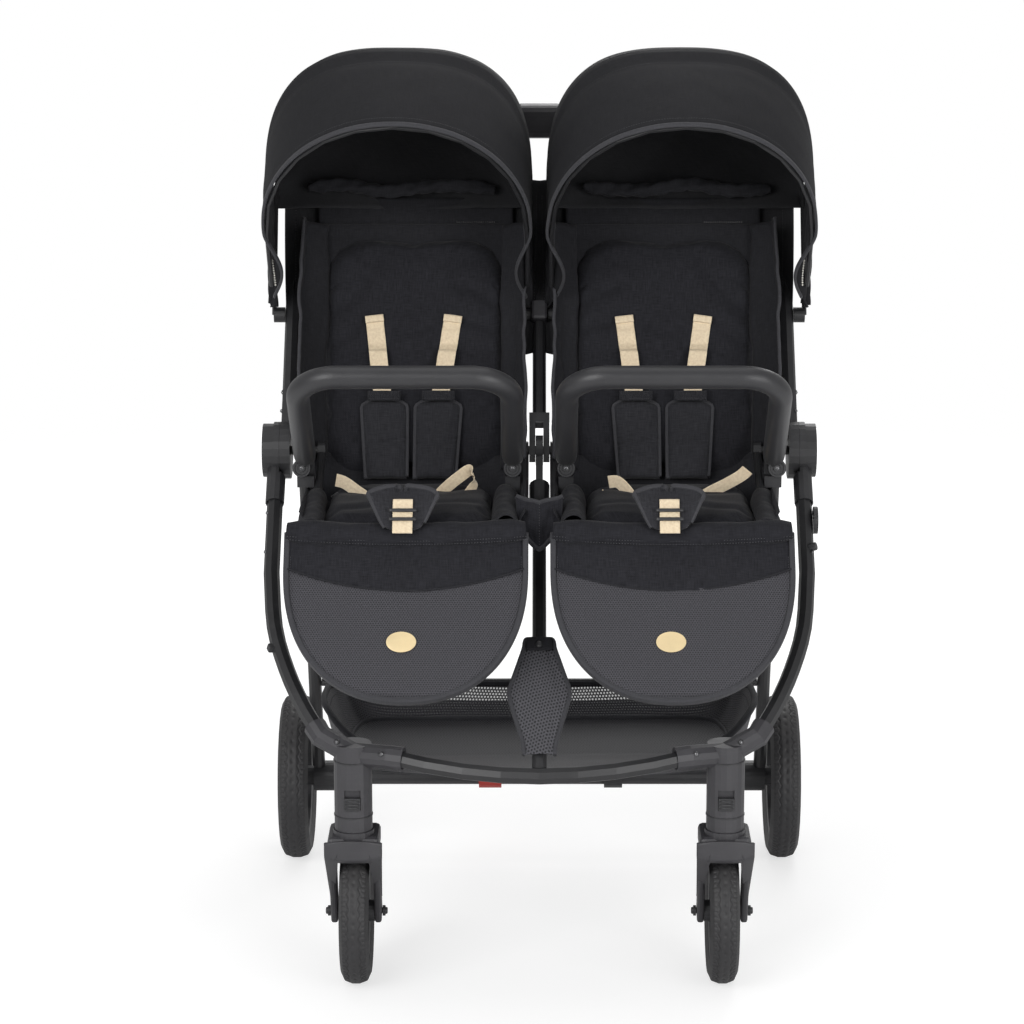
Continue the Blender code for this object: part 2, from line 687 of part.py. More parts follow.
def hood_bracket():
    """Clamp round the centre post that carries the inner end of both hoods."""
    spot = Vector((0.0, HOOD_Y, HOOD_Z))
    clamp = block("centre_hood_bracket", (HOOD_CLAMP_WIDTH, 0.030, 0.034), spot, "plastic",
                  tilt=HANDLE_ANGLE, bevel=0.004)
    way = solid_tube("post_way", [hinge_point(reach, HANDLE_ANGLE) for reach in
                                  (HOOD_REACH - 0.04, HOOD_REACH + 0.04)], room(CENTRE_LEG_R), sides=12)
    cut(clamp, way)


def axle_disc(name, x_from, x_to, radius, look=None, sides=24):
    """Cylinder on the rear axle."""
    return disc(name, x_from, x_to, REAR_AXLE_Y, REAR_WHEEL_R, radius, look, sides)


def rear_frame():
    """Rear legs from the main hinge to the hubs, the axle beam and the brake pedals."""
    axle = Vector((0.0, REAR_AXLE_Y, REAR_WHEEL_R))
    drop = axle - Vector((0.0, HINGE_Y, HINGE_Z))
    along = drop.normalized()
    for side_name, side in SIDES:
        x = side * REAR_LEG_X
        top = Vector((x, HINGE_Y, HINGE_Z))
        leg = solid_tube("rear_leg_" + side_name, [top + along * (REAR_EYE_R - 0.004),
                                                   top + drop - along * (HUB_R - 0.002)],
                         REAR_LEG_R, "tube", sides=12)
        eye = hinge_disc("rear_eye_" + side_name, side * (REAR_LEG_X - 0.0065),
                         side * (REAR_LEG_X + 0.0075), REAR_EYE_R, sides=20)
        bore = hinge_disc("rear_eye_bore_" + side_name, side * (REAR_LEG_X - REAR_EYE_R),
                          side * (REAR_LEG_X + REAR_EYE_R), room(PIN_R))
        hub_room = axle_disc("hub_room_" + side_name, side * (HUB_INNER_X - HUB_R),
                             side * (HUB_OUTER_X + HUB_R), HUB_R + GAP)
        join(leg, eye)
        cut(leg, bore, hub_room)
        hub = axle_disc("brake_hub_" + side_name, side * HUB_INNER_X, side * HUB_OUTER_X, HUB_R,
                        "plastic")
        stub = axle_disc("axle_stub_" + side_name, side * (HUB_OUTER_X - 0.002),
                         side * (REAR_WHEEL_X + 0.012), AXLE_R, sides=12)
        socket = axle_disc("beam_socket_" + side_name, side * (HUB_INNER_X - HUB_R),
                           side * (HUB_INNER_X + BEAM_SEAT + 0.001), room(AXLE_BEAM_R, 16), sides=16)
        join(hub, stub)
        cut(hub, socket)
    reach = HUB_INNER_X + BEAM_SEAT
    axle_disc("rear_axle_beam", -reach, reach, AXLE_BEAM_R, "tube", sides=16)
    pedal("brake_pedal", PEDAL_X, PEDAL_WIDTH, PEDAL_LENGTH, "red")
    pedal("brake_release_pedal", RELEASE_X, PEDAL_WIDTH * 0.8, PEDAL_LENGTH * 0.8, "plastic")


def pedal(name, x, width, length, look):
    """Foot pedal: a ring round the axle beam with a paddle that points rearwards."""
    ring = axle_disc(name, x - width / 2, x + width / 2, AXLE_BEAM_R + 0.005, look, sides=20)
    paddle = block(name + "_paddle", (width, length, PEDAL_T),
                   (x, REAR_AXLE_Y + AXLE_BEAM_R + length / 2, REAR_WHEEL_R), bevel=0.002)
    bore = axle_disc(name + "_bore", x - width, x + width, room(AXLE_BEAM_R, 16), sides=16)
    join(ring, paddle)
    cut(ring, bore)


def wheel(name, centre, radius, width, tyre_depth, hub_span):
    """Tyre with a crowned tread, and a spoked rim with its hub on the axle."""
    half = width / 2
    inner = radius - tyre_depth
    radius /= cos(pi / WHEEL_STEPS)
    tread = [(inner + GAP, -half * 0.80), (radius - 0.012, -half), (radius - 0.004, -half * 0.80),
             (radius, -half * 0.25), (radius, half * 0.25), (radius - 0.004, half * 0.80),
             (radius - 0.012, half), (inner + GAP, half * 0.80)]
    side_name = "left" if centre[0] < 0 else "right"
    turned(name + "_tyre_" + side_name, tread[::-1], centre, "rubber", steps=WHEEL_STEPS)
    band = [(inner - 0.007, half * 0.70), (inner, half * 0.78), (inner, -half * 0.78),
            (inner - 0.007, -half * 0.70)]
    rim = turned(name + "_rim_" + side_name, band, centre, "rim", steps=WHEEL_STEPS)
    hub = disc(name + "_hub_" + side_name, centre[0] + hub_span[0], centre[0] + hub_span[1], centre[1],
               centre[2], AXLE_R + 0.010, sides=16)
    join(rim, hub)
    for k in range(SPOKES):
        turn = tau * k / SPOKES + 0.3
        way = Vector((0.0, cos(turn), sin(turn)))
        middle = Vector(centre) + way * ((inner - 0.004) / 2)
        arm = block(f"{name}_spoke_{side_name}_{k}", (width * 0.36, inner - 0.006, 0.013), middle,
                    tilt=turn)
        join(rim, arm)
    cut(rim, disc(name + "_bore_" + side_name, centre[0] - 0.06, centre[0] + 0.06, centre[1], centre[2],
                  room(AXLE_R), sides=12))


def wheels():
    """Two rear wheels on the axle stubs and two swivelling front wheels in their forks."""
    for side_name, side in SIDES:
        hub_in = HUB_OUTER_X + GAP - REAR_WHEEL_X
        hub_out = REAR_WHEEL_T * 0.45
        span = (hub_in, hub_out) if side > 0 else (-hub_out, -hub_in)
        wheel("rear", (side * REAR_WHEEL_X, REAR_AXLE_Y, REAR_WHEEL_R), REAR_WHEEL_R, REAR_WHEEL_T,
              REAR_TYRE_DEPTH, span)
        caster_fork(side_name, side * CASTER_X)
        reach = FORK_GAP / 2 - GAP
        wheel("front", (side * CASTER_X, CASTER_Y + TRAIL, FRONT_WHEEL_R), FRONT_WHEEL_R,
              FRONT_WHEEL_T, FRONT_TYRE_DEPTH, (-reach, reach))


def caster_fork(side_name, x):
    """Swivelling fork: crown under the housing, two blades, swivel pin and the axle bolt."""
    axle = Vector((x, CASTER_Y + TRAIL, FRONT_WHEEL_R))
    neck = round_bar("caster_fork_" + side_name, (x, CASTER_Y, FORK_CROWN_Z + 0.004),
                     (x, CASTER_Y, CASTER_SPLIT), CASTER_R + 0.002, "plastic", sides=20)
    pin = round_bar("swivel_pin_" + side_name, (x, CASTER_Y, CASTER_SPLIT - 0.01),
                    (x, CASTER_Y, CASTER_SPLIT + SWIVEL_PIN_LENGTH), PIN_R, sides=12)
    outer = FORK_GAP + 2 * FORK_WALL
    crown = block("fork_crown_" + side_name, (outer, 0.068, CROWN_T),
                  (x, CASTER_Y + 0.010, FORK_CROWN_Z - 0.0025 + CROWN_T / 2), bevel=0.006)
    parts = [pin, crown]
    start = Vector((0.0, CASTER_Y + 0.006, FORK_CROWN_Z + 0.004))
    drop = Vector((0.0, axle.y, axle.z)) - start
    tilt = atan2(drop.z, drop.y)
    for way in (-1, 1):
        blade_x = x + way * (FORK_GAP + FORK_WALL) / 2
        middle = start + drop / 2
        middle.x = blade_x
        parts.append(block(f"blade_{side_name}_{way}", (FORK_WALL, drop.length + 0.018, BLADE_DEPTH),
                           middle, tilt=tilt, bevel=0.003))
    bolt = disc("axle_bolt_" + side_name, x - outer / 2 - 0.004, x + outer / 2 + 0.004, axle.y, axle.z,
                AXLE_R, sides=12)
    join(neck, *parts, bolt)
    block("swivel_lock_" + side_name, (LOCK_WIDTH, 0.008, LOCK_LENGTH),
          (x, CASTER_Y - CASTER_R + 0.0015, CASTER_SPLIT + LOCK_HEIGHT - LOCK_TRAVEL / 2), "plastic",
          bevel=0.001)


def seat_frames():
    """Bent tube under each cushion, from an eye on the outer hinge pin to one on the centre pin."""
    low = SEAT_TOP_Z - SEAT_THICKNESS / 2 - SEAT_FRONT_HALF - SEAT_FRAME_R - GAP
    eye_half = SEAT_FRAME_R - 0.0004
    for side_name, side in SIDES:
        corners = [(x, y, z) for x, y, z in (
            (SEAT_FRAME_X, HINGE_Y, HINGE_Z), (SEAT_FRAME_X, BAR_PIVOT_Y, SEAT_ARM_Z),
            (SEAT_FRAME_X, SEAT_FRONT_Y + SEAT_TUBE_BACK, low),
            (SEAT_INNER_X, SEAT_FRONT_Y + SEAT_TUBE_BACK, low),
            (SEAT_INNER_X, BAR_PIVOT_Y, SEAT_ARM_Z), (SEAT_INNER_X, HINGE_Y, HINGE_Z))]
        frame = solid_tube("seat_frame_" + side_name,
                           rounded_path(mirrored(corners, side), SEAT_CORNER_R, 2), SEAT_FRAME_R, "tube",
                           sides=10)
        for place, x in (("outer", SEAT_FRAME_X), ("inner", SEAT_INNER_X)):
            eye = hinge_disc(f"seat_eye_{place}_{side_name}", side * (x - eye_half),
                             side * (x + eye_half), SEAT_EYE_R, sides=16)
            bore = hinge_disc(f"seat_bore_{place}_{side_name}", side * (x - SEAT_EYE_R),
                              side * (x + SEAT_EYE_R), room(PIN_R))
            join(frame, eye)
            cut(frame, bore)


def seats():
    """Cushions, backrests, harness pads and leg rests of both seats."""
    seat_frames()
    for side_name, side in SIDES:
        middle = Vector((side * (CUSHION_INNER + CUSHION_OUTER) / 2, (SEAT_BACK_Y + SEAT_FRONT_Y) / 2,
                         SEAT_TOP_Z - SEAT_THICKNESS / 2))
        pad("seat_cushion_" + side_name, CUSHION_OUTER - CUSHION_INNER, SEAT_BACK_Y - SEAT_FRONT_Y,
            SEAT_THICKNESS, lying_plane(middle, 0.0), "fabric", channels=(0.12,))
        middle = side_point(RECLINE_Y, RECLINE_Z, BACK_LENGTH / 2, BACK_ANGLE, side * SEAT_X)
        pad("backrest_" + side_name, BACK_WIDTH, BACK_LENGTH, BACK_THICKNESS,
            lying_plane(middle, BACK_ANGLE), "fabric", crown=BACK_CROWN, along=15,
            channels=(0.42, 0.80))
        harness(side_name, side)
        leg_rest(side_name, side)


def harness(side_name, side):
    """Shoulder pads that meet over the buckle and the crotch pad, as one soft body."""
    above = BACK_THICKNESS / 2 + BACK_CROWN - HARNESS_DIP
    rows = ((0.052, 0.030), (0.075, 0.046), (0.110, 0.049), (0.150, 0.052), (0.182, 0.050))
    edge = 0.007
    middle = 0.011
    plane = lying_plane(Vector((side * SEAT_X, RECLINE_Y, RECLINE_Z)), BACK_ANGLE)
    rings = []
    for along, half in rows:
        section = ((-half, 0.0), (half, 0.0), (half, edge), (half / 2, middle), (-half / 2, middle),
                   (-half, edge))
        rings.append([plane @ Vector((across, along, above + height)) for across, height in section])
    lofted("harness_" + side_name, rings, "fabric")


def leg_rest(side_name, side):
    """Padded board with a straight hinge edge and a round lower end."""
    half = LEG_REST_WIDTH / 2
    outline = [(-half, 0.0)]
    steps = 7
    for step in range(steps + 1):
        turn = pi / 2 * step / steps
        outline.append((-half * cos(turn),
                        LEG_REST_LENGTH - LEG_REST_CORNER + LEG_REST_CORNER * sin(turn)))
    outline += [(-x, y) for x, y in outline[-2::-1]]
    place = lying_plane(Vector((side * SEAT_X, LEG_REST_Y, LEG_REST_Z)), LEG_REST_ANGLE)
    outline_plate("leg_rest_" + side_name, outline, LEG_REST_T, place, "mesh")


def belly_bars():
    """Foam-covered bars on their end discs, and the sockets that the discs plug into."""
    along = Vector((0.0, cos(BAR_ANGLE), sin(BAR_ANGLE)))
    face = Vector((0.0, -BAR_HEAD_T / 2, 0.0))
    for side_name, side in SIDES:
        feet = [Vector((side * x, BAR_PIVOT_Y, BAR_PIVOT_Z)) for x in (BAR_INNER_X, BAR_OUTER_X)]
        start = along * BAR_START
        corners = [feet[0] + start, feet[0] + along * BAR_REACH, feet[1] + along * BAR_REACH,
                   feet[1] + start]
        bar = solid_tube("belly_bar_" + side_name, rounded_path(corners, BAR_CORNER_R, 5), BAR_FOAM_R,
                         "foam", sides=12)
        for place, foot in zip(("inner", "outer"), feet):
            join(bar, round_bar(f"bar_head_{place}_{side_name}", foot + face, foot - face, DISC_R,
                                sides=16))
        plug_low = SOCKET_TOP - PLUG_DEPTH
        join(bar, block("bar_plug_" + side_name, (PLUG_WIDTH, PLUG_T, BAR_PIVOT_Z - plug_low),
                        (feet[0].x, BAR_PIVOT_Y, (BAR_PIVOT_Z + plug_low) / 2)))
        belly_sockets(side_name, side)


def belly_sockets(side_name, side):
    """Outer socket with its ear behind the pivot disc, and inner socket that takes the plug."""
    low = SOCKET_TOP - EAR_BLOCK_HEIGHT
    outer = block("belly_socket_outer_" + side_name,
                  (2 * SOCKET_OUTER_HALF, SOCKET_DEPTH, EAR_BLOCK_HEIGHT),
                  (side * BAR_OUTER_X, BAR_PIVOT_Y, (SOCKET_TOP + low) / 2), "plastic")
    ear_top = BAR_PIVOT_Z + 0.007
    ear_y = BAR_PIVOT_Y + BAR_HEAD_T / 2 + GAP + SOCKET_EAR_T / 2
    ear = block("socket_ear_" + side_name, (2 * SOCKET_OUTER_HALF, SOCKET_EAR_T, ear_top - low),
                (side * BAR_OUTER_X, ear_y, (ear_top + low) / 2))
    join(outer, ear)
    inner = block("belly_socket_inner_" + side_name, (2 * SOCKET_INNER_HALF, SOCKET_DEPTH, SOCKET_HEIGHT),
                  (side * BAR_INNER_X, BAR_PIVOT_Y, SOCKET_TOP - SOCKET_HEIGHT / 2), "plastic")
    way_size = (PLUG_WIDTH + 2 * PLUG_PLAY, PLUG_T + 2 * GAP, 2 * PLUG_DEPTH)
    cut(inner, block("plug_way_" + side_name, way_size, (side * BAR_INNER_X, BAR_PIVOT_Y, SOCKET_TOP)))


def bow_path(side, angle, out=0.0, drop=0.0, foot=BOW_FOOT):
    """Hood bow in its plane through the hinge: straight legs, then an arch over the top.

    The arch is squarer at the middle and rear bows, and rounder towards the rim.
    """
    forward = max(0.0, (angle - HOOD_MIDDLE_ANGLE) / (HOOD_FRONT_ANGLE - HOOD_MIDDLE_ANGLE))
    power = SQUARE_BOW + (ROUND_BOW - SQUARE_BOW) * forward
    half = HOOD_BOW_WIDTH / 2 + out
    points = [(-half, foot)]
    steps = 12
    for step in range(steps + 1):
        turn = pi * step / steps
        rise = (HOOD_R - drop + out - HOOD_SIDE) * abs(sin(turn)) ** power
        reach_out = copysign(abs(cos(turn)) ** power, cos(turn))
        points.append((-half * reach_out, HOOD_SIDE + rise))
    points.append((half, foot))
    return [side_point(HOOD_Y, HOOD_Z, reach, angle, side * HOOD_X + across) for across, reach in points]


def hoods():
    """Rim and rear bows, the canopy with its middle bow sewn in, and the outer hinge clips."""
    hood_bracket()
    for side_name, side in SIDES:
        tube("hood_front_bow_" + side_name, bow_path(side, HOOD_FRONT_ANGLE), BOW_R, "tube", sides=6)
        rear = solid_tube("hood_rear_bow_" + side_name,
                          bow_path(side, HOOD_REAR_ANGLE, drop=REAR_BOW_DROP, foot=0.0), BOW_R, "tube",
                          sides=6)
        clip_x = UPPER_TUBE_X + TUBE_R + GAP
        clip = disc("hood_clip_" + side_name, side * clip_x, side * (clip_x + CLIP_T), HOOD_Y, HOOD_Z,
                    CLIP_R, sides=20)
        eye = disc("hood_eye_" + side_name, side * (HOOD_CLAMP_WIDTH / 2 + GAP),
                   side * (HOOD_INNER_X + 0.004), HOOD_Y, HOOD_Z, CLIP_R, sides=20)
        join(rear, clip, eye)
        rows = []
        for step in range(-4, 5):
            start = HOOD_REAR_ANGLE if step < 0 else HOOD_FRONT_ANGLE
            share = abs(step) / 4
            angle = HOOD_MIDDLE_ANGLE + (start - HOOD_MIDDLE_ANGLE) * share
            drop = CANOPY_SAG * sin(pi * share) + (REAR_BOW_DROP * share if step < 0 else 0.0)
            rows.append(bow_path(side, angle, CANOPY_OUT, drop, CANOPY_FOOT))
        sheet("hood_canopy_" + side_name, rows, CANOPY_T, "fabric")


def basket_floor(y):
    """Height of the basket's floor, which rises towards the front tube."""
    forward = max(0.0, -0.02 - y) / 0.35
    return BASKET_FLOOR_Z + BASKET_FLOOR_RISE * forward ** BASKET_FLOOR_BEND


def basket():
    """Mesh basket between the legs, its rear rim bar and the centre diamond panel."""
    bar_y = HINGE_Y + (REAR_AXLE_Y - HINGE_Y) * (HINGE_Z - BASKET_REAR_Z) / (HINGE_Z - REAR_WHEEL_R)
    rear_y = bar_y - BASKET_BAR_R - GAP - BASKET_WALL / 2
    front_y = CROSS_FRONT_Y + sqrt((TUBE_R + BASKET_WALL / 2 + GAP) ** 2 - BASKET_HANG ** 2)
    rear_x = REAR_LEG_X - 0.0635
    rim = [(0.0, front_y, CROSS_FRONT_Z - BASKET_HANG),
           (CASTER_X - 0.105, front_y + 0.020, SADDLE_Z - 0.015),
           (CASTER_X - 0.007, CASTER_Y + 0.042, SADDLE_Z - 0.002),
           (REAR_LEG_X - 0.0375, -0.170, SADDLE_Z + 0.015),
           (REAR_LEG_X - 0.0275, 0.000, BASKET_REAR_Z + 0.040),
           (REAR_LEG_X - 0.0315, 0.110, BASKET_REAR_Z + 0.015),
           (rear_x, rear_y, BASKET_REAR_Z + 0.002),
           (rear_x / 2, rear_y, BASKET_REAR_Z)]
    full = rim + [(0.0, rear_y, BASKET_REAR_Z)] + [(-x, y, z) for x, y, z in rim[:0:-1]]
    levels = ((1.0, 1.0), (0.955, 0.45), (0.90, 0.06), (0.84, 0.0), (0.56, 0.0), (0.28, 0.0))
    rings = []
    for share, height in levels:
        ring = []
        for x, y, z in full:
            inner_y = BASKET_MIDDLE_Y + (y - BASKET_MIDDLE_Y) * share
            low = basket_floor(inner_y)
            ring.append(Vector((x * share, inner_y, low + (z - low) * height)))
        rings.append(ring)
    bm = bmesh.new()
    made = [[bm.verts.new(p) for p in ring] for ring in rings]
    for one, two in zip(made, made[1:]):
        for k in range(len(one)):
            n = (k + 1) % len(one)
            bm.faces.new((one[k], one[n], two[n], two[k]))
    middle = bm.verts.new((0.0, BASKET_MIDDLE_Y, basket_floor(BASKET_MIDDLE_Y)))
    for k in range(len(full)):
        bm.faces.new((made[-1][k], made[-1][(k + 1) % len(full)], middle))
    bmesh.ops.recalc_face_normals(bm, faces=bm.faces)
    tub = add_mesh("basket", bm, "mesh")
    thicken(tub, BASKET_WALL)
    disc("basket_rear_bar", -REAR_LEG_X + REAR_LEG_R + GAP, REAR_LEG_X - REAR_LEG_R - GAP, bar_y,
         BASKET_REAR_Z, BASKET_BAR_R, "tube", sides=12)
    half = PANEL_WIDTH / 2
    end = PANEL_END / 2
    widest = PANEL_LENGTH * 0.53
    outline = [(-end, 0.0), (-half, widest), (-end, PANEL_LENGTH), (end, PANEL_LENGTH), (half, widest),
               (end, 0.0)]
    foot = hinge_point(PANEL_FOOT, CENTRE_LEG_ANGLE)
    lift = Vector((0.0, sin(CENTRE_LEG_ANGLE), -cos(CENTRE_LEG_ANGLE))) * (CENTRE_LEG_R + PANEL_T / 2 + GAP)
    place = lying_plane(foot + lift, CENTRE_LEG_ANGLE - pi)
    outline_plate("basket_centre_panel", outline, PANEL_T, place, "mesh")


def storage_latch():
    """Half-round fold latch on the right front leg."""
    spot = hinge_point(LATCH_REACH, LEG_ANGLE, OUTER_TUBE_X)
    face = spot.x + TUBE_R + GAP
    disc("storage_latch", face, face + LATCH_T, spot.y, spot.z, LATCH_R, "plastic", sides=20)


front_frame()
upper_frame()
rear_frame()
wheels()
seats()
belly_bars()
hoods()
basket()
storage_latch()
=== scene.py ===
# %% [markdown]
# # A side-by-side double stroller
# The imported CAD model is the skeleton: every tube, hinge and wheel has its true place, and every soft
# part has a plain solid that holds its room. This lesson loads that frame, then dresses it: sewn
# fabric, moulded plastic, foam, webbing and rubber, most pieces riding on the body that carries them.
# The hood cloths and the side wings ride on no body and stay where they are built.
# Numbers are metres, the front faces -Y, and left is -X, as seen from the front.

# %% Load the frame
from math import pi, radians

import bmesh
import bpy
import numpy as np
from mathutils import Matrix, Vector


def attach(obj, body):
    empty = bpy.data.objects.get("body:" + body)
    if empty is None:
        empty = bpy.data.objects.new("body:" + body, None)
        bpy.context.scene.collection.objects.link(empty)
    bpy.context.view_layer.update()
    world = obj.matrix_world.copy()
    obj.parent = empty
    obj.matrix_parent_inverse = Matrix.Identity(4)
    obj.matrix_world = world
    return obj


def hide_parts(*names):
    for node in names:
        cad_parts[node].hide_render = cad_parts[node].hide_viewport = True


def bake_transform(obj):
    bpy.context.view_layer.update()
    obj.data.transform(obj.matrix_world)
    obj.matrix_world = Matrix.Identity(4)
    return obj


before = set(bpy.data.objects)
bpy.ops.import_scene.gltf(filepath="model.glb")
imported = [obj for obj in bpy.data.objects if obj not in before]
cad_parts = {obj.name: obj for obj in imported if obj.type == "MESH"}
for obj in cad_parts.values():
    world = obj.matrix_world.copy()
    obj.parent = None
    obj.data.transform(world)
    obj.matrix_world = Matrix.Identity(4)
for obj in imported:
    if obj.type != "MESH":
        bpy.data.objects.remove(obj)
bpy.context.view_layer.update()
SIDES = (("left", -1.0), ("right", 1.0))

# %% [markdown]
# ## The camera
# The photograph was taken with a long lens from the front, a little above the seats. Its height and
# distance were worked out from where the wheels, the hinges and the hoods fall in the picture. A long
# lens keeps the two sides nearly parallel, and a small shift puts the stroller where the picture has it.

# %% Camera
PITCH = radians(13.5)
DISTANCE = 4.6
AIM = Vector((0.0, 0.0, 0.55))
LENS = 121.5
SENSOR = 36.0
FAR_CLIP = 60.0
SHIFT = (-0.0267, 0.0039)

lens = bpy.data.cameras.new("camera")
lens.lens = LENS
lens.sensor_width = SENSOR
lens.shift_x, lens.shift_y = SHIFT
lens.clip_end = FAR_CLIP
camera = bpy.data.objects.new("camera", lens)
bpy.context.scene.collection.objects.link(camera)
camera.location = AIM + Vector((0.0, -np.cos(PITCH), np.sin(PITCH))) * DISTANCE
camera.rotation_euler = (pi / 2 - PITCH, 0.0, 0.0)
bpy.context.scene.camera = camera
bpy.context.scene.view_settings.view_transform = "Standard"

# %% [markdown]
# ## Studio
# A catalogue picture of a black product needs broad lights, because black cloth only shows its folds
# where a big soft light glances off it. The floor is pale, and looks white to the camera, yet it keeps
# the soft shadow under the wheels. It is a disc, and its glow grows outwards, so that no edge shows.

# %% Studio
FLOOR_SIZE = 6.4
FLOOR_CORNERS = 96
FLOOR_TONE = 0.90
FLOOR_ROUGHNESS = 0.6
FLOOR_GLOW = 0.50
GLOW_FROM, GLOW_TO = 0.8, 2.2
GLOW_STRENGTH = 1.30
WORLD_LEVEL = 0.42
WHITE = (1.0, 1.0, 1.0, 1.0)
# Name, place, width in metres and power in watts of each square lamp.
LAMPS = (("key", (-2.0, -3.1, 2.1), 2.2, 82.0), ("fill", (2.3, -3.2, 1.3), 2.4, 70.0),
         ("top", (0.0, 0.2, 3.4), 2.6, 17.0), ("back", (0.6, 3.0, 2.4), 2.2, 38.0))


def area_light(name, place, size, power):
    """Square lamp that looks at the middle of the stroller."""
    lamp = bpy.data.lights.new(name, "AREA")
    lamp.size = size
    lamp.energy = power
    made = bpy.data.objects.new(name, lamp)
    made.location = place
    made.rotation_euler = (AIM - Vector(place)).to_track_quat("-Z", "Y").to_euler()
    bpy.context.scene.collection.objects.link(made)


for lamp_row in LAMPS:
    area_light(*lamp_row)

# %% World that is white to the camera
world = bpy.data.worlds.new("studio")
world.use_nodes = True
bpy.context.scene.world = world
links, nodes = world.node_tree.links, world.node_tree.nodes
sky, seen = nodes["Background"], nodes.new("ShaderNodeBackground")
sky.inputs["Color"].default_value = WHITE
sky.inputs["Strength"].default_value = WORLD_LEVEL
seen.inputs["Color"].default_value = WHITE
rays = nodes.new("ShaderNodeLightPath")
either = nodes.new("ShaderNodeMath")
either.operation = "MAXIMUM"
mixed = nodes.new("ShaderNodeMixShader")
links.new(rays.outputs["Is Camera Ray"], either.inputs[0])
links.new(rays.outputs["Is Transmission Ray"], either.inputs[1])
links.new(either.outputs[0], mixed.inputs["Fac"])
links.new(sky.outputs[0], mixed.inputs[1])
links.new(seen.outputs[0], mixed.inputs[2])
links.new(mixed.outputs[0], nodes["World Output"].inputs["Surface"])

# %% Floor
half = FLOOR_SIZE / 2
mesh = bpy.data.meshes.new("floor")
turn = np.linspace(0, 2 * pi, FLOOR_CORNERS, endpoint=False)
rim = [(half * np.cos(t), half * np.sin(t), 0.0) for t in turn]
mesh.from_pydata(rim, [], [tuple(range(FLOOR_CORNERS))])
floor = bpy.data.objects.new("floor", mesh)
bpy.context.scene.collection.objects.link(floor)
pale = bpy.data.materials.new("pale_floor")
pale.use_nodes = True
links, nodes = pale.node_tree.links, pale.node_tree.nodes
shader = nodes["Principled BSDF"]
shader.inputs["Base Color"].default_value = (FLOOR_TONE, FLOOR_TONE, FLOOR_TONE, 1.0)
shader.inputs["Roughness"].default_value = FLOOR_ROUGHNESS
glow, rays, mixed = (nodes.new("ShaderNode" + kind) for kind in ("Emission", "LightPath", "MixShader"))
glow.inputs["Strength"].default_value = GLOW_STRENGTH
share = nodes.new("ShaderNodeMath")
share.operation = "MULTIPLY"
where, away, grows = (nodes.new("ShaderNode" + kind) for kind in ("TexCoord", "VectorMath", "MapRange"))
away.operation = "LENGTH"
for k, value in enumerate((GLOW_FROM, GLOW_TO, FLOOR_GLOW, 1.0)):
    grows.inputs[k + 1].default_value = value
links.new(where.outputs["Object"], away.inputs[0])
links.new(away.outputs["Value"], grows.inputs["Value"])
links.new(grows.outputs["Result"], share.inputs[1])
links.new(rays.outputs["Is Camera Ray"], share.inputs[0])
links.new(share.outputs[0], mixed.inputs["Fac"])
links.new(shader.outputs[0], mixed.inputs[1])
links.new(glow.outputs[0], mixed.inputs[2])
links.new(mixed.outputs[0], nodes["Material Output"].inputs["Surface"])
floor.data.materials.append(pale)
print("camera at", tuple(round(v, 3) for v in camera.location), "with", len(LAMPS), "lamps")

# %% [markdown]
# ## Surfaces from formulas
# Each piece below is a grid of points: a shape with two parameters, or a section carried along a path.
# numpy works out the whole grid at once, and one helper turns any grid into a mesh with a UV map in
# real metres, so that a weave keeps its scale on every piece.

# %% Number helpers
MERGE = 1e-6
SHEET_THICK, LINING_THICK, PAD_THICK = 0.0016, 0.0014, 0.0060
SEAM_PITCH, WIDE_PITCH = 0.0034, 0.0042


def two_ways(first, second, indexing="xy"):
    """Two parameters over a whole grid. Each is given as low, high and count."""
    return np.meshgrid(np.linspace(*first), np.linspace(*second), indexing=indexing)


def round_turn(count):
    """Even angles, once round a circle."""
    return np.arange(count) * 2 * pi / count


def distances(points):
    """Distance of each point from the first, along a line of points."""
    return np.r_[0.0, np.cumsum(np.linalg.norm(np.diff(points, axis=0), axis=1))]


def smoothed(values, span):
    """Running mean over a few values, with both ends held."""
    return np.convolve(np.pad(values, span // 2, "edge"), np.ones(span) / span, "valid")


def read_from(items, key, width=3, kind=np.float32):
    """One attribute of a mesh's vertices, faces or corners, as a row of numbers for each."""
    found = np.empty(len(items) * width, kind)
    items.foreach_get(key, found)
    return found.reshape(-1, width)

# %% Grid to mesh
def piece_from(mesh, name, finish, body):
    """Links a mesh as a smooth-shaded piece with a finish, riding on a CAD body if one is named."""
    made = bpy.data.objects.new(name, mesh)
    bpy.context.scene.collection.objects.link(made)
    mesh.materials.clear()
    mesh.materials.append(finish)
    mesh.shade_smooth()
    if body:
        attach(made, body)
    return made


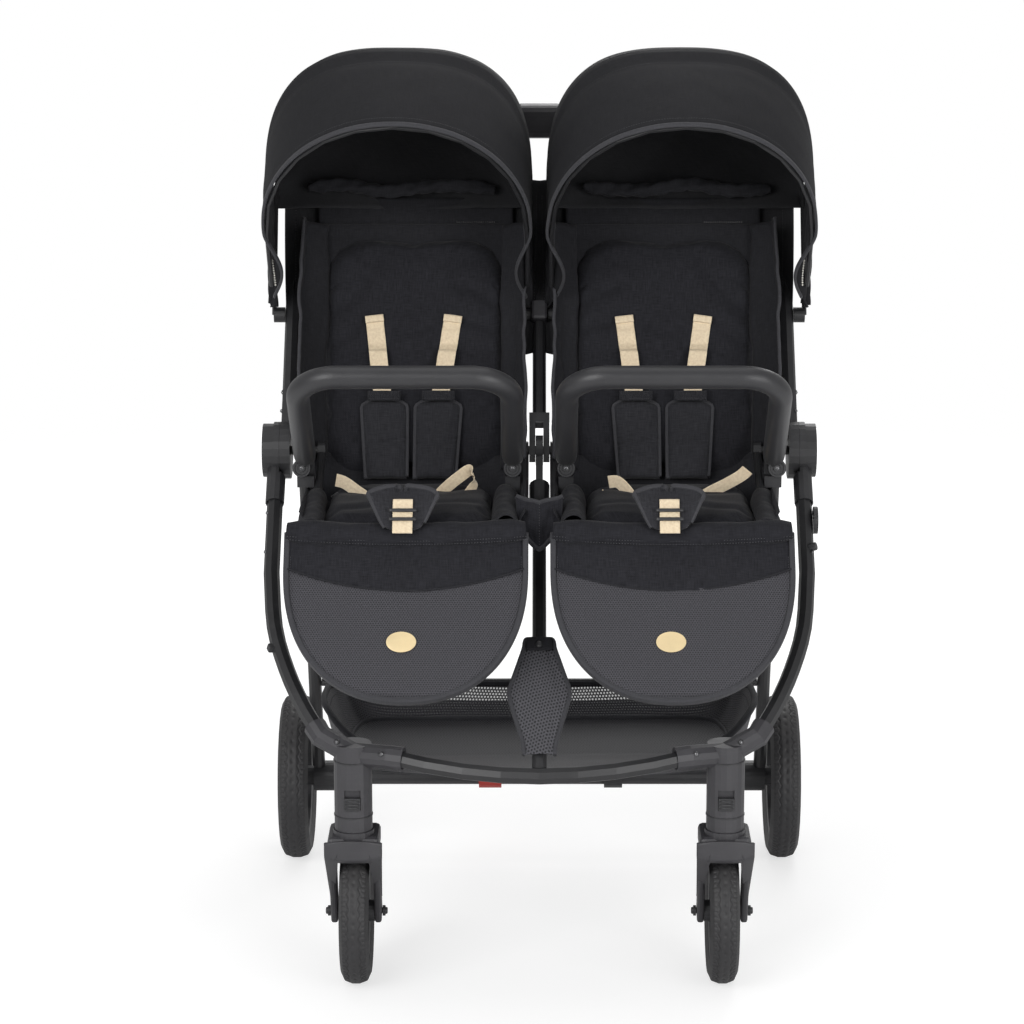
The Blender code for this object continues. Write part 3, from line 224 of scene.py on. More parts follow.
def surface(name, grid, finish, body, uv=None, wrap=(False, False), crisp=None):
    """Mesh of a grid of points (rows, columns, 3), wrapped round in either direction if asked.

    uv holds two numbers for each grid corner, one more row or column where the grid wraps. Where it
    is left out, it is the distance along the first column and round the middle row.
    """
    rows, columns = grid.shape[:2]
    if uv is None:
        ring = grid[rows // 2]
        round_way = distances(np.vstack([ring, ring[:1]]))
        line = grid[:, 0]
        long_way = distances(np.vstack([line, line[:1]]))
        uv = np.stack(np.meshgrid(long_way, round_way, indexing="ij"), -1)
    r = np.arange(rows if wrap[0] else rows - 1)
    c = np.arange(columns if wrap[1] else columns - 1)
    r, c = (v.ravel() for v in np.meshgrid(r, c, indexing="ij"))
    r2, c2 = (r + 1) % rows, (c + 1) % columns
    quads = np.stack([r * columns + c, r * columns + c2, r2 * columns + c2, r2 * columns + c], -1)
    mesh = bpy.data.meshes.new(name)
    mesh.from_pydata(grid.reshape(-1, 3).tolist(), [], quads.tolist())
    corners = np.stack([uv[r, c], uv[r, c + 1], uv[r + 1, c + 1], uv[r + 1, c]], 1)
    layer = mesh.uv_layers.new(name="UVMap")
    layer.data.foreach_set("uv", corners.reshape(-1).astype(np.float32))
    bm = bmesh.new()
    bm.from_mesh(mesh)
    bmesh.ops.remove_doubles(bm, verts=bm.verts, dist=MERGE)
    bmesh.ops.dissolve_degenerate(bm, edges=bm.edges, dist=MERGE / 10)
    bmesh.ops.recalc_face_normals(bm, faces=bm.faces)
    bm.to_mesh(mesh)
    bm.free()
    made = piece_from(mesh, name, finish, body)
    if crisp is not None:
        mesh.set_sharp_from_angle(angle=radians(crisp))
    return made

# %% Curves and sections
def unit(v):
    """Vectors scaled to length one."""
    return v / np.maximum(np.linalg.norm(v, axis=-1, keepdims=True), 1e-12)


def eased(points, count):
    """Smooth curve through points (Catmull-Rom), read at count even steps."""
    p = np.asarray(points, float)
    p = np.vstack([2 * p[0] - p[1], p, 2 * p[-1] - p[-2]])
    t = np.linspace(0, len(p) - 3 - 1e-9, count)
    k = t.astype(int)
    u = (t - k)[:, None]
    a, b, c, d = p[k], p[k + 1], p[k + 2], p[k + 3]
    return 0.5 * (2 * b + (c - a) * u + (2 * a - 5 * b + 4 * c - d) * u ** 2
                  + (3 * b - a - 3 * c + d) * u ** 3)


def carried(path, section, side, scale=1.0, closed=False):
    """Section carried along a path: point + across * x + up * y, where across is side made square to
    the path and up is the path's direction crossed with it. Open ends close on their own middle."""
    path = np.asarray(path, float)
    if closed:
        ahead = unit(np.roll(path, -1, 0) - np.roll(path, 1, 0))
    else:
        ahead = unit(np.gradient(path, axis=0))
    side = np.broadcast_to(np.asarray(side, float), path.shape)
    across = unit(side - (side * ahead).sum(-1, keepdims=True) * ahead)
    up = np.cross(ahead, across)
    size = np.broadcast_to(np.asarray(scale, float), (len(path),))[:, None, None]
    section = np.asarray(section, float)
    if section.ndim == 2:
        section = section[None]
    grid = path[:, None] + size * (section[..., :1] * across[:, None] + section[..., 1:] * up[:, None])
    if not closed:
        first, last = (np.repeat(path[k][None, None], grid.shape[1], 1) for k in (0, -1))
        grid = np.concatenate([first, grid, last])
    return grid


def rounded(width, height, power=2.0, count=16):
    """Closed section: an ellipse at power 2, nearer to a box with round corners as power grows."""
    t = round_turn(count)
    c, s = np.cos(t), np.sin(t)
    return np.stack([np.sign(c) * np.abs(c) ** (2 / power) * width / 2,
                     np.sign(s) * np.abs(s) ** (2 / power) * height / 2], -1)

# %% Swept and turned pieces
def swept(name, path, section, side, finish, body, scale=1.0, closed=False, crisp=None):
    """Piece made of a section carried along a path."""
    grid = carried(path, section, side, scale, closed)
    return surface(name, grid, finish, body, wrap=(closed, True), crisp=crisp)


def turned(name, profile, middle, axis, finish, body, steps=40, crisp=40):
    """Lathe piece: (distance along the axis, radius) points turned round an axis through middle."""
    axis = unit(np.asarray(axis, float))
    first = unit(np.cross(axis, (0.3, 0.5, 0.81)))
    second = np.cross(axis, first)
    profile = np.asarray(profile, float)
    t = round_turn(steps)
    ring = np.cos(t)[:, None] * first + np.sin(t)[:, None] * second
    grid = np.asarray(middle) + profile[:, None, :1] * axis + profile[:, None, 1:] * ring[None]
    return surface(name, grid, finish, body, wrap=(False, True), crisp=crisp)

# %% Thickness and unevenness
def walled(made, thickness, offset=0.0):
    """Gives a sheet its cloth thickness."""
    wall = made.modifiers.new("cloth", "SOLIDIFY")
    wall.thickness = thickness
    wall.offset = offset
    return made


def ripple(a, b, seed, waves=5):
    """Smooth seeded unevenness between about -1 and 1: a sum of sines over two coordinates."""
    draw = np.random.default_rng(seed)
    total = 0.0
    for k in range(waves):
        turn, phase = draw.uniform(0, 2 * pi, 2)
        total = total + np.sin((k + 1) * (a * np.cos(turn) + b * np.sin(turn)) + phase) / (k + 1)
    return total / 1.6


# %% [markdown]
# ## Finishes
# Nearly everything here is black, so the finishes differ in how they take the light: linen-like seat
# cloth with slubs, smoother hood cloth, honeycomb mesh, satin tube, grained plastic, soft foam and dull
# rubber. The shared effects are node groups, built once: a weave, a honeycomb, a moulded grain, scuffs
# and dust. Each material places them with its own values, and keeps its own shader.

# %% Node helpers
def node(tree, kind, feeds=None, **settings):
    """Adds a shader node. Each feed is written on its socket, or linked where it is a socket."""
    made = tree.nodes.new("ShaderNode" + kind)
    for key, value in settings.items():
        setattr(made, key, value)
    for key, value in (feeds or {}).items():
        if isinstance(value, bpy.types.NodeSocket):
            tree.links.new(value, made.inputs[key])
        else:
            made.inputs[key].default_value = value
    return made


def maths(tree, how, *values):
    """Output of one Math node."""
    return node(tree, "Math", dict(enumerate(values)), operation=how).outputs[0]


def vectors(tree, how, *values):
    """Output of one Vector Math node."""
    made = node(tree, "VectorMath", dict(enumerate(values)), operation=how)
    return made.outputs["Value" if how in ("DOT_PRODUCT", "LENGTH", "DISTANCE") else "Vector"]


def spread(tree, value, low, high, to_low=0.0, to_high=1.0):
    """Map Range with clamped ends."""
    return node(tree, "MapRange", {0: value, 1: low, 2: high, 3: to_low, 4: to_high}).outputs[0]


def noise(tree, vector, scale, detail=3.0, rough=0.55):
    """Noise value over a vector."""
    return node(tree, "TexNoise", {"Vector": vector, "Scale": scale, "Detail": detail,
                                   "Roughness": rough}).outputs[0]


def new_group(name, inputs, outputs):
    """Empty shader node group. Inputs are (name, default), a vector where there is no default."""
    made = bpy.data.node_groups.new(name, "ShaderNodeTree")
    for label, default in inputs:
        kind = "NodeSocketVector" if default is None else "NodeSocketFloat"
        socket = made.interface.new_socket(name=label, in_out="INPUT", socket_type=kind)
        if default is not None:
            socket.default_value = default
    for label in outputs:
        made.interface.new_socket(name=label, in_out="OUTPUT", socket_type="NodeSocketFloat")
    return made, made.nodes.new("NodeGroupInput").outputs, made.nodes.new("NodeGroupOutput").inputs

# %% Weave group
WEAVE, given, out = new_group("weave", [("Vector", None), ("Pitch", 0.0012), ("Slub", 0.5)],
                              ["Height", "Shade"])
per = maths(WEAVE, "DIVIDE", pi, given["Pitch"])
turns = vectors(WEAVE, "SCALE", given["Vector"])
WEAVE.links.new(per, turns.node.inputs["Scale"])
parts = node(WEAVE, "SeparateXYZ", {0: turns}).outputs
knit = maths(WEAVE, "MULTIPLY", maths(WEAVE, "SINE", parts[0]), maths(WEAVE, "SINE", parts[1]))
long_way = noise(WEAVE, vectors(WEAVE, "MULTIPLY", given["Vector"], (70.0, 900.0, 0.0)), 1.0, 2.0)
cross_way = noise(WEAVE, vectors(WEAVE, "MULTIPLY", given["Vector"], (800.0, 60.0, 0.0)), 1.0, 2.0)
slubs = maths(WEAVE, "SUBTRACT", maths(WEAVE, "ADD", long_way, cross_way), 1.0)
slubs = maths(WEAVE, "MULTIPLY", slubs, given["Slub"])
WEAVE.links.new(maths(WEAVE, "MULTIPLY_ADD", knit, 0.35, slubs), out["Height"])
cloudy = maths(WEAVE, "SUBTRACT", noise(WEAVE, given["Vector"], 9.0, 2.0), 0.5)
shade = maths(WEAVE, "MULTIPLY_ADD", slubs, 1.5, maths(WEAVE, "MULTIPLY_ADD", cloudy, 0.25, 1.0))
WEAVE.links.new(maths(WEAVE, "MULTIPLY_ADD", knit, 0.10, shade), out["Shade"])

# %% Honeycomb group
HONEYCOMB, given, out = new_group("honeycomb", [("Vector", None), ("Cell", 0.004), ("Wall", 0.3)],
                                  ["Hole", "Height"])
places = vectors(HONEYCOMB, "DIVIDE", given["Vector"])
widths = node(HONEYCOMB, "CombineXYZ", {0: given["Cell"], 1: given["Cell"], 2: 1.0}).outputs[0]
HONEYCOMB.links.new(widths, places.node.inputs[1])
STEP = (1.0, 3 ** 0.5, 1.0)
HALF = (0.5, 3 ** 0.5 / 2, 0.0)
flat = vectors(HONEYCOMB, "MULTIPLY", places, (1.0, 1.0, 0.0))
one = vectors(HONEYCOMB, "SUBTRACT", vectors(HONEYCOMB, "WRAP", flat, STEP, (0.0, 0.0, 0.0)), HALF)
two = vectors(HONEYCOMB, "WRAP", vectors(HONEYCOMB, "SUBTRACT", flat, HALF), STEP, (0.0, 0.0, 0.0))
two = vectors(HONEYCOMB, "SUBTRACT", two, HALF)
nearer = maths(HONEYCOMB, "LESS_THAN", vectors(HONEYCOMB, "LENGTH", one), vectors(HONEYCOMB, "LENGTH", two))
pick = node(HONEYCOMB, "Mix", data_type="VECTOR")
HONEYCOMB.links.new(nearer, pick.inputs[0])
HONEYCOMB.links.new(two, pick.inputs[4])
HONEYCOMB.links.new(one, pick.inputs[5])
folded = vectors(HONEYCOMB, "ABSOLUTE", pick.outputs[1])
slant = vectors(HONEYCOMB, "DOT_PRODUCT", folded, (0.5, 3 ** 0.5 / 2, 0.0))
level = maths(HONEYCOMB, "MAXIMUM", slant, node(HONEYCOMB, "SeparateXYZ", {0: folded}).outputs[0])
edge = maths(HONEYCOMB, "MULTIPLY_ADD", given["Wall"], -0.5, 0.5)
wall = node(HONEYCOMB, "MapRange", {0: level, 1: 0.1, 2: 0.5}, interpolation_type="SMOOTHSTEP")
HONEYCOMB.links.new(maths(HONEYCOMB, "MULTIPLY", edge, 0.75), wall.inputs[1])
HONEYCOMB.links.new(edge, wall.inputs[2])
HONEYCOMB.links.new(wall.outputs[0], out["Height"])
HONEYCOMB.links.new(maths(HONEYCOMB, "SUBTRACT", 1.0, wall.outputs[0]), out["Hole"])

# %% Grain, scuff and dust groups
GRAIN, given, out = new_group("grain", [("Vector", None), ("Scale", 900.0)], ["Height", "Shade"])
fine = node(GRAIN, "TexVoronoi", {"Vector": given["Vector"], "Scale": given["Scale"]},
            feature="SMOOTH_F1").outputs[0]
broad = noise(GRAIN, given["Vector"], 24.0)
GRAIN.links.new(fine, out["Height"])
GRAIN.links.new(spread(GRAIN, maths(GRAIN, "MULTIPLY_ADD", fine, 0.25, broad), 0.2, 0.9, 0.86, 1.14),
                out["Shade"])

SCUFF, given, out = new_group("scuff", [("Vector", None), ("Amount", 0.5)], ["Mask"])
streaks = noise(SCUFF, vectors(SCUFF, "MULTIPLY", given["Vector"], (40.0, 40.0, 260.0)), 1.0, 4.0, 0.7)
spots = noise(SCUFF, given["Vector"], 18.0, 5.0, 0.7)
scuffed = spread(SCUFF, maths(SCUFF, "MULTIPLY", streaks, spots), 0.24, 0.42)
SCUFF.links.new(maths(SCUFF, "MULTIPLY", scuffed, given["Amount"]), out["Mask"])

DUST, given, out = new_group("dust", [("Vector", None), ("Amount", 0.3)], ["Mask"])
up = node(DUST, "SeparateXYZ", {0: node(DUST, "NewGeometry").outputs["Normal"]}).outputs[2]
lying = spread(DUST, up, 0.1, 0.95)
patchy = spread(DUST, noise(DUST, given["Vector"], 30.0, 6.0, 0.75), 0.35, 0.75)
DUST.links.new(maths(DUST, "MULTIPLY", maths(DUST, "MULTIPLY", lying, patchy), given["Amount"]),
               out["Mask"])
print("node groups", [group.name for group in bpy.data.node_groups])

# %% [markdown]
# A material here is a Principled shader with one or two of those groups. Gloss, sheen and the other
# numbers that are the same all over are set on the shader's own sockets. Colours are written as they
# stand in the picture, from black cloth at about 2 percent to the pale gold of the webbing.

# %% Material builders
def placed_group(tree, group, coordinates, **values):
    """One of the shared groups, fed with coordinates and its values."""
    made = tree.nodes.new("ShaderNodeGroup")
    made.node_tree = group
    tree.links.new(coordinates, made.inputs["Vector"])
    for key, value in values.items():
        made.inputs[key].default_value = value
    return made.outputs


def shader_of(name, **sockets):
    """New material with its Principled sockets set. Returns the material, its tree and its shader."""
    made = bpy.data.materials.new(name)
    made.use_nodes = True
    shader = made.node_tree.nodes["Principled BSDF"]
    for key, value in sockets.items():
        shader.inputs[key.replace("_", " ")].default_value = value
    return made, made.node_tree, shader


def coordinates_of(tree, uv):
    """UV map in metres, or Object coordinates."""
    return node(tree, "TexCoord").outputs["UV" if uv else "Object"]


def tinted(tree, colour, shade):
    """Colour times a grey that changes over the surface."""
    made = node(tree, "VectorMath", {0: colour}, operation="SCALE")
    tree.links.new(shade, made.inputs["Scale"])
    return made.outputs[0]


def bumped(tree, shader, height, distance, strength=1.0):
    """Height through a Bump node into the shader's Normal."""
    bump = node(tree, "Bump", {"Strength": strength, "Distance": distance, "Height": height})
    tree.links.new(bump.outputs[0], shader.inputs["Normal"])


def mixed_colour(tree, share, first, second):
    """Colour that goes from first to second."""
    made = node(tree, "Mix", data_type="RGBA")
    for socket, value in ((0, share), (6, first), (7, second)):
        if isinstance(value, bpy.types.NodeSocket):
            tree.links.new(value, made.inputs[socket])
        else:
            made.inputs[socket].default_value = (*value, 1.0) if socket else value
    return made.outputs[2]

# %% Cloth and mesh
def cloth(name, colour, pitch=0.0012, slub=0.5, sheen=0.25, rough=0.85, depth=0.0003):
    """Woven cloth: weave group for shade and bump, with a soft sheen at glancing angles."""
    made, tree, shader = shader_of(name, Roughness=rough, Sheen_Weight=sheen, Sheen_Roughness=0.45,
                                   Specular_IOR_Level=0.08)
    weave = placed_group(tree, WEAVE, coordinates_of(tree, True), Pitch=pitch, Slub=slub)
    tree.links.new(tinted(tree, colour, weave["Shade"]), shader.inputs["Base Color"])
    bumped(tree, shader, weave["Height"], depth, 0.6)
    return made


def mesh_cloth(name, wall_colour, hole_colour, cell=0.004, wall=0.35, open_holes=0.0, sheen=0.3, rough=0.7,
               turn=0.0, stretch=(1.0, 1.0, 1.0)):
    """Knitted mesh: honeycomb walls over darker holes, which may also be see-through."""
    made, tree, shader = shader_of(name, Roughness=rough, Sheen_Weight=sheen, Specular_IOR_Level=0.3)
    laid = node(tree, "Mapping", {0: coordinates_of(tree, True), 2: (0.0, 0.0, turn),
                                  3: stretch}).outputs[0]
    comb = placed_group(tree, HONEYCOMB, laid, Cell=cell, Wall=wall)
    mottle = spread(tree, noise(tree, coordinates_of(tree, True), 400.0, 2.0), 0.3, 0.7, 0.8, 1.2)
    tone = mixed_colour(tree, comb["Hole"], tinted(tree, wall_colour, mottle), hole_colour)
    tree.links.new(tone, shader.inputs["Base Color"])
    bumped(tree, shader, comb["Height"], 0.0008, 0.7)
    if open_holes:
        tree.links.new(maths(tree, "MULTIPLY_ADD", comb["Hole"], -open_holes, 1.0), shader.inputs["Alpha"])
    return made

# %% Plastic and rubber
def plastic(name, colour, rough=0.45, grain=0.00012, scale=900.0, wear=0.25, **sockets):
    """Moulded plastic or foam: fine grain, slight unevenness, and scuffs that dull the gloss."""
    made, tree, shader = shader_of(name, **sockets)
    place = coordinates_of(tree, False)
    skin = placed_group(tree, GRAIN, place, Scale=scale)
    worn = placed_group(tree, SCUFF, place, Amount=wear)
    lighter = tuple(min(1.0, 0.02 + 1.5 * c) for c in colour)
    tone = mixed_colour(tree, worn["Mask"], tinted(tree, colour, skin["Shade"]), lighter)
    tree.links.new(tone, shader.inputs["Base Color"])
    tree.links.new(maths(tree, "MULTIPLY_ADD", worn["Mask"], 0.3, rough), shader.inputs["Roughness"])
    bumped(tree, shader, skin["Height"], grain, 0.5)
    return made


def rubber(name, colour, rough=0.75, dust=0.25):
    """Tyre rubber: dull, faintly mottled, with dust where it faces up."""
    made, tree, shader = shader_of(name, Specular_IOR_Level=0.35)
    place = coordinates_of(tree, False)
    skin = placed_group(tree, GRAIN, place, Scale=500.0)
    dusty = placed_group(tree, DUST, place, Amount=dust)
    tone = mixed_colour(tree, dusty["Mask"], tinted(tree, colour, skin["Shade"]), (0.14, 0.135, 0.13))
    tree.links.new(tone, shader.inputs["Base Color"])
    tree.links.new(maths(tree, "MULTIPLY_ADD", dusty["Mask"], 0.2, rough), shader.inputs["Roughness"])
    bumped(tree, shader, skin["Height"], 0.0002, 0.5)
    return made

# %% Webbing
WEBBING_PICK = 0.0012


def webbing(name, colour, dark, rib=0.0011, sheen=0.4, gloss=0.45):
    """Woven tape: satin ribs that run along it, with a fine cross weave."""
    made, tree, shader = shader_of(name, Roughness=gloss, Sheen_Weight=sheen, Sheen_Roughness=0.35)
    place = coordinates_of(tree, True)
    parts = node(tree, "SeparateXYZ", {0: place}).outputs
    ribs = maths(tree, "SINE", maths(tree, "MULTIPLY", parts[1], 2 * pi / rib))
    picks = maths(tree, "SINE", maths(tree, "MULTIPLY", parts[0], 2 * pi / WEBBING_PICK))
    height = maths(tree, "MULTIPLY_ADD", picks, 0.4, ribs)
    thread = noise(tree, vectors(tree, "MULTIPLY", place, (260.0, 260.0, 0.0)), 1.0, 3.0)
    share = spread(tree, maths(tree, "MULTIPLY_ADD", thread, 1.3, maths(tree, "MULTIPLY", height, 0.18)),
                   0.3, 1.0)
    tree.links.new(mixed_colour(tree, share, dark, colour), shader.inputs["Base Color"])
    bumped(tree, shader, height, 0.00025, 0.7)
    return made

# %% The finishes by name
SEAT_CLOTH = cloth("seat_cloth", (0.019, 0.019, 0.0225), pitch=0.0013, slub=0.75, sheen=0.07)
WING_CLOTH = cloth("wing_cloth", (0.022, 0.022, 0.025), pitch=0.0011, slub=0.5, sheen=0.05)
HOOD_CLOTH = cloth("hood_cloth", (0.0185, 0.0185, 0.0205), pitch=0.0009, slub=0.35, sheen=0.02, rough=0.7)
LINING = cloth("hood_lining", (0.026, 0.026, 0.028), pitch=0.0009, slub=0.3, sheen=0.05)
BINDING = cloth("binding_tape", (0.048, 0.048, 0.053), pitch=0.0008, slub=0.4, sheen=0.10, rough=0.65)
PAD_CLOTH = cloth("pad_cloth", (0.029, 0.029, 0.033), pitch=0.0012, slub=0.7, sheen=0.10)
THREAD = cloth("stitching", (0.075, 0.075, 0.082), pitch=0.0006, slub=0.3, sheen=0.1, rough=0.55)
PALE_THREAD = cloth("pale_stitching", (0.62, 0.61, 0.58), pitch=0.0006, slub=0.3, sheen=0.3, rough=0.5)
HONEY_MESH = mesh_cloth("honeycomb_mesh", (0.052, 0.051, 0.059), (0.010, 0.010, 0.012), cell=0.0033,
                        wall=0.42, sheen=0.08)
DIAMOND_MESH = mesh_cloth("diamond_mesh", (0.072, 0.071, 0.080), (0.014, 0.014, 0.016), cell=0.0040,
                          wall=0.36, turn=pi / 4, stretch=(1.0, 0.72, 1.0), sheen=0.08)
BASKET_MESH = mesh_cloth("basket_mesh", (0.040, 0.039, 0.045), (0.013, 0.013, 0.014), cell=0.0040,
                         wall=0.50, open_holes=0.25, sheen=0.08)
SHEER_MESH = mesh_cloth("sheer_mesh", (0.10, 0.10, 0.105), (0.2, 0.2, 0.2), cell=0.0046, wall=0.36,
                        open_holes=0.6)
TUBE = plastic("satin_black_tube", (0.016, 0.016, 0.0175), rough=0.40, grain=0.00004, scale=1500.0,
               wear=0.2)
PLASTIC = plastic("black_moulding", (0.022, 0.022, 0.024), rough=0.42, grain=0.00010)
SOFT_PLASTIC = plastic("charcoal_moulding", (0.034, 0.033, 0.037), rough=0.48, grain=0.00012, scale=1100.0)
FOAM = plastic("bar_foam", (0.021, 0.021, 0.0235), rough=0.40, grain=0.0003, scale=700.0, wear=0.15,
               Sheen_Weight=0.06)
RED = plastic("red_moulding", (0.40, 0.030, 0.022), rough=0.4)
STEEL = plastic("dark_steel", (0.16, 0.16, 0.165), rough=0.32, grain=0.00002, wear=0.4, Metallic=1.0)
TYRE = rubber("tyre_rubber", (0.026, 0.0255, 0.027), rough=0.52)
GOLD_WEBBING = webbing("gold_webbing", (0.98, 0.83, 0.60), (0.76, 0.60, 0.40))
BLACK_WEBBING = webbing("black_webbing", (0.045, 0.045, 0.050), (0.020, 0.020, 0.022))
GOLD_PATCH = plastic("gold_patch", (0.78, 0.62, 0.36), rough=0.34, grain=0.00006, scale=1400.0, wear=0.1,
                     Metallic=0.35)
ZIP_TEETH = plastic("zip_teeth", (0.62, 0.60, 0.55), rough=0.3, wear=0.2)
print(len(bpy.data.materials), "materials")

# %% [markdown]
# ## The hard parts from the CAD
# The tubes, hinge caps, wheels, brake and housings already have their true shape, so they stay as they
# are and only get a better finish.

# %% Finishes on the CAD parts
def both(*names):
    """Each name once for the left side and once for the right."""
    return [f"{name}_{side_name}" for name in names for side_name, _ in SIDES]


TUBES = both("front_leg", "rear_leg", "seat_frame", "hood_rear_bow", "hood_front_bow")
TUBES += ["front_cross_tube", "centre_leg", "handle_tube", "basket_rear_bar"]
MOULDED = both("hinge_lower", "hinge_upper", "brake_hub", "belly_socket_outer", "belly_socket_inner",
               "rear_rim", "front_rim", "swivel_lock")
MOULDED += ["centre_post", "storage_latch", "fold_release_button", "rear_axle_beam", "brake_release_pedal"]
CHARCOAL = both("caster_bracket", "caster_fork") + ["centre_hood_bracket", "fold_release_housing"]
TYRES = both("rear_tyre", "front_tyre")


def refinish(names, finish):
    """Puts one finish in every material slot of the named CAD nodes."""
    for name in names:
        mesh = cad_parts[name].data
        if not mesh.materials:
            mesh.materials.append(finish)
        for k in range(len(mesh.materials)):
            mesh.materials[k] = finish


for names, finish in ((TUBES, TUBE), (MOULDED, PLASTIC), (CHARCOAL, SOFT_PLASTIC), (TYRES, TYRE),
                      (["brake_pedal"], RED)):
    refinish(names, finish)
print("refinished", len(TUBES) + len(MOULDED) + len(CHARCOAL) + len(TYRES) + 1, "CAD nodes")

# %% [markdown]
# ## Small repeated details
# Stitches, pinholes and zip teeth are tiny and come by the hundred. Each run is one mesh: a small
# eight-sided stone, copied along a path by numpy and stretched along it.

# %% Stitch runs
STONE = np.array([(1, 0, 0), (-1, 0, 0), (0, 1, 0), (0, -1, 0), (0, 0, 1), (0, 0, -1)], float)
NEARBY = 0.0005
STONE_FACES = np.array([(0, 2, 4), (2, 1, 4), (1, 3, 4), (3, 0, 4), (2, 0, 5), (1, 2, 5), (3, 1, 5),
                        (0, 3, 5)])


def along(path, pitch):
    """Points every pitch along a path, with its direction at each."""
    path = np.asarray(path, float)
    steps = distances(path)
    at = np.arange(pitch / 2, steps[-1], pitch)
    spots = np.stack([np.interp(at, steps, path[:, k]) for k in range(3)], -1)
    ahead = np.stack([np.interp(at + NEARBY, steps, path[:, k]) for k in range(3)], -1)
    back = np.stack([np.interp(at - NEARBY, steps, path[:, k]) for k in range(3)], -1)
    return spots, unit(ahead - back)


def stitched(name, paths, finish, body, pitch=0.0035, long=0.0011, thick=0.0005):
    """Stones along one path or several: half-length long, half-width thick, one every pitch."""
    found = [along(path, pitch) for path in paths]
    spots, ahead = (np.concatenate([pair[k] for pair in found]) for k in (0, 1))
    second = unit(np.cross(ahead, (0.21, 0.35, 0.91)))
    third = np.cross(ahead, second)
    frames = np.stack([ahead * long, second * thick, third * thick], 1)
    points = spots[:, None] + np.einsum("sk,nkc->nsc", STONE, frames)
    faces = (STONE_FACES[None] + 6 * np.arange(len(spots))[:, None, None]).reshape(-1, 3)
    mesh = bpy.data.meshes.new(name)
    mesh.from_pydata(points.reshape(-1, 3).tolist(), [], faces.tolist())
    bm = bmesh.new()
    bm.from_mesh(mesh)
    bmesh.ops.recalc_face_normals(bm, faces=bm.faces)
    bm.to_mesh(mesh)
    bm.free()
    layer = mesh.uv_layers.new(name="UVMap")
    corners = read_from(mesh.loops, "vertex_index", 1, np.int32)[:, 0]
    flat = points.reshape(-1, 3)[corners]
    layer.data.foreach_set("uv", flat[:, [0, 2]].reshape(-1).astype(np.float32))
    return piece_from(mesh, name, finish, body)

# %% [markdown]
# ## The hoods
# Each hood is a rear and a front cloth over three bows that turn about a clip beside the seat. A point
# has two numbers: the angle of the bow plane through it, and its way along the bow. A bow goes straight
# up from the hinge, then over the top in an arch whose sine and cosine are raised to a power: about 0.7
# makes the squarer arch of the middle bow, and nearly 1 the round arch of the front edge. Between the
# bows the cloth sinks a little, and near the hinges it gathers in folds.

# %% Hood shape
HOOD_Y, HOOD_Z = 0.16492, 0.79210
HOOD_X = 0.18815
HOOD_WIDTH = 0.3447
HOOD_R = 0.3655
HOOD_SIDE = 0.165
REAR, MIDDLE, FRONT = radians(66), radians(101), radians(129)


def on_plane(side, reach, angle, across):
    """Point at a reach and angle from the hood hinge, and a distance across the hood's middle."""
    shape = np.broadcast(reach, angle, across).shape
    return np.stack([np.broadcast_to(side * HOOD_X + across, shape),
                     np.broadcast_to(HOOD_Y + reach * np.cos(angle), shape),
                     np.broadcast_to(HOOD_Z + reach * np.sin(angle), shape)], -1)


def bow_line(angle, way, out, drop, foot):
    """Across and reach of the cloth at a bow angle: way 0 to 1 goes leg, arch, leg."""
    forward = np.clip((angle - MIDDLE) / (FRONT - MIDDLE), 0, 1)
    power = 0.70 + 0.26 * forward
    turn = np.clip((way - 0.2) / 0.6, 0, 1) * pi
    leg = np.clip(np.minimum(way, 1 - way) / 0.2, 0, 1)
    half = HOOD_WIDTH / 2 + out
    across = -half * np.sign(np.cos(turn)) * np.abs(np.cos(turn)) ** power
    reach = foot + (HOOD_SIDE - foot) * leg + (HOOD_R - drop + out - HOOD_SIDE) * np.sin(turn) ** power
    return across, reach


def hood_sheet(side, share, way, foot=0.016):
    """Cloth surface: share -1 at the rear bow, 0 at the middle one and 1 at the front edge."""
    angle = MIDDLE + np.where(share < 0, (MIDDLE - REAR) * share, (FRONT - MIDDLE) * share)
    sag = 0.007 * np.sin(pi * np.abs(share)) ** 0.8 + 0.012 * np.clip(-share, 0, 1)
    beside = (np.abs(share) - 0.16) / 0.05
    pocket = 0.0022 * np.exp(-(share / 0.07) ** 2) - 0.0016 * np.exp(-beside ** 2)
    across, reach = bow_line(angle, way, 0.0056, sag, foot)
    top = np.clip((reach - HOOD_SIDE) / 0.2, 0, 1)
    loose = np.clip(1 - reach / (HOOD_SIDE * 1.35), 0, 1)
    outward = np.sign(across)
    pleats = np.sin(11 * share + 5 * reach / HOOD_SIDE + 0.7 * side)
    pleats = pleats + 0.6 * np.sin(19 * share - 9 * reach / HOOD_SIDE)
    ease = np.sin(pi * np.clip(reach / HOOD_SIDE, 0, 1)) ** 1.3
    lean = np.clip(share, 0, 1) ** 2 * 0.016 * ease
    across = across - outward * (0.0042 * loose * (1 + pleats) + lean)
    soft = 0.0016 * ripple(8 * share, 26 * across, 3 + int(side)) * (0.35 + 0.65 * (1 - top))
    reach = reach + (pocket + soft) * np.clip(reach / 0.1, 0, 1)
    return on_plane(side, reach, angle + 0.05 * loose * np.sin(9 * share), across)

# %% Measures of a cloth
def measured_uv(grid):
    """UV in metres on the grid itself: distance along each row and column."""
    rows = np.cumsum(np.linalg.norm(np.diff(grid, axis=0, prepend=grid[:1]), axis=-1).mean(1))
    columns = np.cumsum(np.linalg.norm(np.diff(grid, axis=1, prepend=grid[:, :1]), axis=-1), axis=1)
    return np.stack([columns, np.broadcast_to(rows[:, None], grid.shape[:2])], -1)


